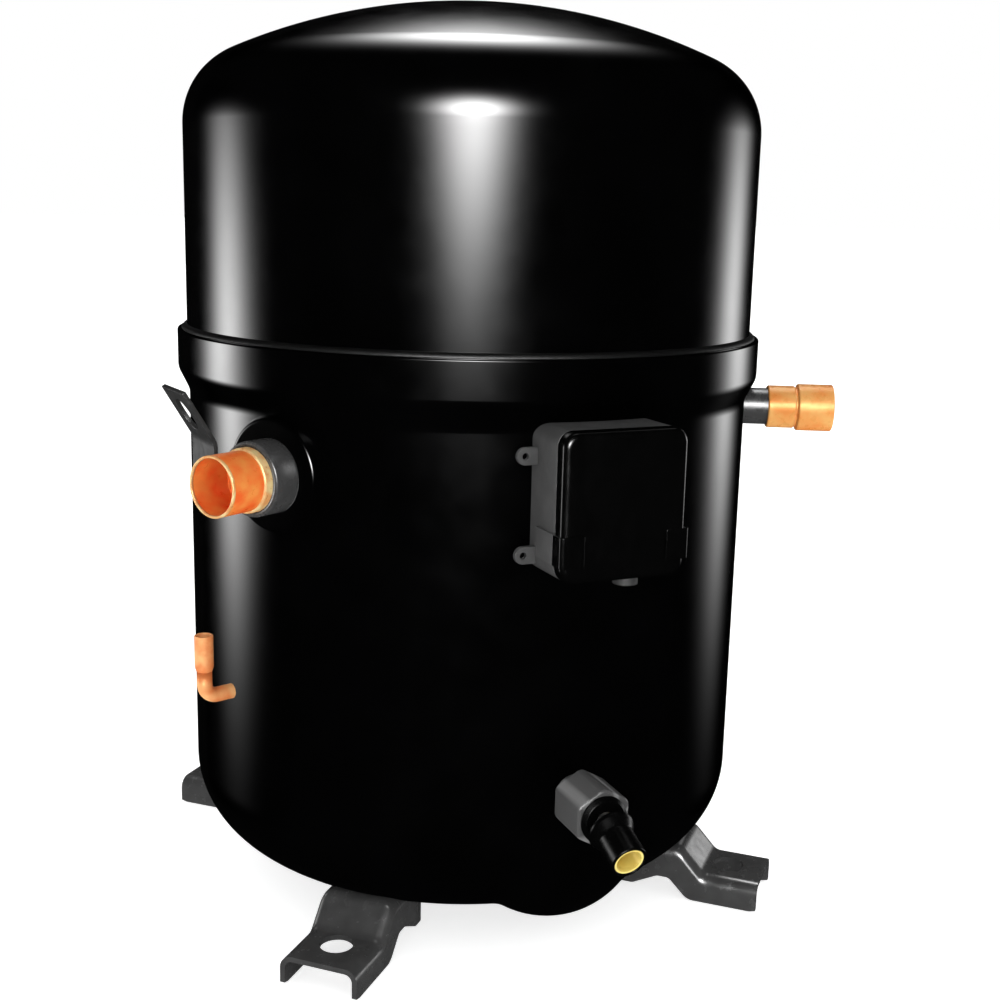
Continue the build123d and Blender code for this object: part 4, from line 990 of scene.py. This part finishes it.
for side, label in ((-1, "left"), (1, "right")):
    edge = side * (BOX_WIDTH / 2 + 0.1 * MM)
    hook_mesh = prism(
        clip_side(edge, side, CLIP_JOINT, CLIP_TURN), CLIP_Z - CLIP_HALF, CLIP_Z + CLIP_HALF, Matrix()
    )
    hook = new_piece(f"cover_clip_{label}", *hook_mesh, gloss_plastic, "cover")
    soften(hook, 0.35 * MM, 3, 50)
    outer_x = edge + side * CLIP_SHEET
    corners = [(edge, CLIP_ROOT), (edge, CLIP_JOINT), (outer_x, CLIP_JOINT), (outer_x, CLIP_ROOT)]
    arm_mesh = prism(corners, CLIP_Z - CLIP_HALF, CLIP_Z + CLIP_HALF, Matrix())
    arm = new_piece(f"cover_clip_arm_{label}", *arm_mesh, tray_plastic, "cover")
    soften(arm, 0.3 * MM, 2, 50)
    if side < 0:
        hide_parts("cover_clips")


# ---- Feet ---------------------------------------------------------------------------------
def foot_path(inset_by):
    """The joggled top line of a foot as (distance, height) points, inset under its face."""
    slope = atan2(FOOT_RISE, JOGGLE_LOW - JOGGLE_HIGH)
    shift = inset_by * tan(slope / 2)
    top = FOOT_SHEET - inset_by
    line = rounded([
        (FOOT_TIP, top, 0),
        (JOGGLE_LOW - shift, top, 6 * MM + inset_by),
        (JOGGLE_HIGH - shift, top + FOOT_RISE, 7 * MM - inset_by),
        (FOOT_ROOT, top + FOOT_RISE, 0),
    ], 8)
    return fill(line, 4 * MM)


def height_on(line, distance):
    """Height of a path at a distance from the axis."""
    if distance >= line[0].x:
        return line[0].y
    for near, far in zip(line, line[1:]):
        if far.x <= distance:
            share = (near.x - distance) / max(near.x - far.x, 1e-9)
            return near.y + (far.y - near.y) * share
    return line[-1].y


hem_line = fill(rounded([
    (FOOT_TIP, HEM_LOW, 0),
    (HEM_FAR, HEM_LOW, 7 * MM),
    (HEM_NEAR, HEM_WAIST, 3.5 * MM),
    (WAIST, HEM_WAIST, 3 * MM),
    (LOBE, LOBE_LOW, 3 * MM),
    (FOOT_ROOT, LOBE_LOW, 0),
], 8), 3 * MM)
stations = sorted({round(p.x, 6) for p in foot_path(0) + hem_line}, reverse=True)


def channel(station, inset_by):
    """One cross-section of the foot at a distance: from one hem over the bends to the other."""
    top = height_on(foot_path(inset_by), station)
    hem = height_on(hem_line, station)
    if station > FOOT_TIP - 1.5 * MM:
        hem += 0.7 * MM
    half = FOOT_WIDTH / 2 - inset_by
    bend = FOOT_BEND - inset_by
    line = [Vector((-half, hem)), Vector((-half, (hem + top - bend) / 2))]
    for step in range(9):
        angle = pi / 2 * step / 8
        line.append(Vector((-half + bend * (1 - cos(angle)), top - bend * (1 - sin(angle)))))
    line += [Vector((x * half, top)) for x in (-0.35, 0.0, 0.35)]
    return line + [Vector((-p.x, p.y)) for p in line[:-3][::-1]]


def make_foot(corner, azimuth):
    """A joggled channel foot with a drilled plate, rounded bends and a lobe at its root."""
    out_way = outward(azimuth)
    across = Vector((cos(radians(azimuth)), sin(radians(azimuth)), 0))
    verts = []
    for inset_by in (0, FOOT_SHEET):
        for station in stations:
            verts += [out_way * station + across * p.x + UP * p.y for p in channel(station, inset_by)]
    count = len(channel(stations[0], 0))
    rows = len(stations)
    layer = rows * count
    faces = []
    for row in range(rows - 1):
        for index in range(count - 1):
            a = row * count + index
            faces.append((a, a + 1, a + 1 + count, a + count))
            faces.append((layer + a + count, layer + a + count + 1, layer + a + 1, layer + a))
        for index in (0, count - 1):
            a = row * count + index
            faces.append((a, a + count, layer + a + count, layer + a))
    for row in (0, rows - 1):
        for index in range(count - 1):
            a = row * count + index
            faces.append((a, a + 1, layer + a + 1, layer + a))
    foot = new_piece(f"foot_channel_{corner}", verts, faces, foot_steel)
    hole_place = Matrix.Translation(out_way * BOLT_CIRCLE)
    cut(foot, *prism(circle(FOOT_HOLE, 64), -5 * MM, 8 * MM, hole_place))
    soften(foot, 0.35 * MM, 2, 40)
    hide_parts(f"foot_{corner}")


for corner, azimuth in FOOT_AZIMUTHS.items():
    make_foot(corner, azimuth)

# ---- Everything else keeps its CAD shape --------------------------------------------------
slots = {part["node"]: part["material_slot"] for part in frame["record"]["subparts"]}
for name, node in frame["nodes"].items():
    node.data.materials.clear()
    node.data.materials.append(by_slot[slots[name]])


# ---- Stage --------------------------------------------------------------------------------
def plain(name, color, strength=0.0):
    """A matt stage material that also glows a little, so that the floor stays pale."""
    material = bpy.data.materials.new(name)
    material.use_nodes = True
    shader = material.node_tree.nodes["Principled BSDF"]
    shader.inputs["Base Color"].default_value = (*color, 1)
    shader.inputs["Roughness"].default_value = 0.9
    shader.inputs["Specular IOR Level"].default_value = 0.0
    shader.inputs["Emission Color"].default_value = (1, 1, 1, 1)
    shader.inputs["Emission Strength"].default_value = strength
    return material


FLOOR_SIZE = 40.0
floor_z = -0.5 * MM + min(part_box(f"foot_{corner}")[0].z for corner in FOOT_AZIMUTHS)
floor_mesh = bpy.data.meshes.new("floor")
half = FLOOR_SIZE / 2
corners = [(x * half, y * half, floor_z) for x, y in ((-1, -1), (1, -1), (1, 1), (-1, 1))]
floor_mesh.from_pydata(corners, [], [(0, 1, 2, 3)])
floor_mesh.materials.append(plain("floor_white", (0.85, 0.85, 0.85), 0.75))
floor = bpy.data.objects.new("floor", floor_mesh)
bpy.context.scene.collection.objects.link(floor)
floor.visible_glossy = False


def soft_box(name, azimuth, elevation, width, height, strength, color=(1, 1, 1)):
    """A panel that fades smoothly from its middle and shows only in glossy reflections."""
    mesh = bpy.data.meshes.new(name)
    x = SPREAD * width / 2
    y = SPREAD * height / 2
    mesh.from_pydata([(-x, -y, 0), (x, -y, 0), (x, y, 0), (-x, y, 0)], [], [(0, 1, 2, 3)])
    material = bpy.data.materials.new(name + "_glow")
    material.use_nodes = True
    nodes = material.node_tree.nodes
    links = material.node_tree.links
    nodes.clear()
    coords = nodes.new("ShaderNodeTexCoord")
    scaled = nodes.new("ShaderNodeVectorMath")
    scaled.operation = "MULTIPLY"
    scaled.inputs[1].default_value = (2 / width, 2 / height, 0)
    square = nodes.new("ShaderNodeVectorMath")
    square.operation = "DOT_PRODUCT"
    fade = nodes.new("ShaderNodeMath")
    fade.operation = "POWER"
    fade.inputs[0].default_value = 0.5
    level = nodes.new("ShaderNodeMath")
    level.operation = "MULTIPLY"
    level.inputs[1].default_value = strength
    glow = nodes.new("ShaderNodeEmission")
    glow.inputs["Color"].default_value = (*color, 1)
    result = nodes.new("ShaderNodeOutputMaterial")
    links.new(coords.outputs["Object"], scaled.inputs[0])
    links.new(scaled.outputs["Vector"], square.inputs[0])
    links.new(scaled.outputs["Vector"], square.inputs[1])
    links.new(square.outputs["Value"], fade.inputs[1])
    links.new(fade.outputs["Value"], level.inputs[0])
    links.new(level.outputs["Value"], glow.inputs["Strength"])
    links.new(glow.outputs["Emission"], result.inputs["Surface"])
    mesh.materials.append(material)
    panel = bpy.data.objects.new(name, mesh)
    bpy.context.scene.collection.objects.link(panel)
    rise = radians(elevation)
    back = outward(azimuth) * cos(rise) + UP * sin(rise)
    panel.location = LIGHT_TARGET + back * BOX_DISTANCE
    panel.rotation_mode = "QUATERNION"
    panel.rotation_quaternion = back.to_track_quat("Z", "Y")
    panel.visible_camera = False
    panel.visible_diffuse = False
    panel.visible_shadow = False
    return panel


SPREAD = 4.0
LIGHT_TARGET = Vector((0, 0, 0.25))
BOX_DISTANCE = 2.0


def across_of(angle):
    """Width at the light distance of an angle seen from the object."""
    return 2 * BOX_DISTANCE * tan(radians(angle) / 2)


soft_box("key_panel", -22.9, 13.6, across_of(17.9), across_of(17.5), KEY_LEVEL)
soft_box("left_panel", -127.3, -6.2, across_of(17.4), across_of(17.2), LEFT_LEVEL)
soft_box("right_panel", 99.1, -3.7, across_of(17.2), across_of(18.2), RIGHT_LEVEL)
soft_box("top_panel", 156.6, 63.3, across_of(20.0), across_of(23.3), TOP_LEVEL)

world = bpy.data.worlds.new("studio")
bpy.context.scene.world = world
world.use_nodes = True
nodes = world.node_tree.nodes
links = world.node_tree.links
nodes.clear()
path_kind = nodes.new("ShaderNodeLightPath")
seen = nodes.new("ShaderNodeMapRange")
seen.inputs["To Min"].default_value = AMBIENT
seen.inputs["To Max"].default_value = MIRRORED
shown = nodes.new("ShaderNodeMixRGB")
shown.inputs["Color2"].default_value = (1, 1, 1, 1)
backdrop = nodes.new("ShaderNodeBackground")
world_out = nodes.new("ShaderNodeOutputWorld")
links.new(path_kind.outputs["Is Glossy Ray"], seen.inputs["Value"])
links.new(seen.outputs["Result"], shown.inputs["Color1"])
links.new(path_kind.outputs["Is Camera Ray"], shown.inputs["Fac"])
links.new(shown.outputs["Color"], backdrop.inputs["Color"])
links.new(backdrop.outputs["Background"], world_out.inputs["Surface"])

# ---- Camera -------------------------------------------------------------------------------
turn = Matrix.Rotation(radians(CAMERA_AZIMUTH), 3, "Z")
pitch = radians(CAMERA_PITCH)
yaw = radians(CAMERA_YAW)
roll = radians(CAMERA_ROLL)
ahead = Vector((sin(yaw) * cos(pitch), cos(yaw) * cos(pitch), -sin(pitch)))
right = ahead.cross(UP).normalized()
over = right.cross(ahead)
level_right = right * cos(roll) + over * sin(roll)
level_up = over * cos(roll) - right * sin(roll)
pose = Matrix((turn @ level_right, turn @ level_up, turn @ -ahead)).transposed().to_4x4()
pose.translation = turn @ Vector((0, -CAMERA_DISTANCE, CAMERA_HEIGHT))
lens = bpy.data.cameras.new("camera")
lens.lens = CAMERA_LENS
lens.sensor_width = 36
lens.clip_start = 0.01
camera = bpy.data.objects.new("camera", lens)
bpy.context.scene.collection.objects.link(camera)
camera.matrix_world = pose
bpy.context.scene.camera = camera
bpy.context.scene.view_settings.view_transform = "Standard"
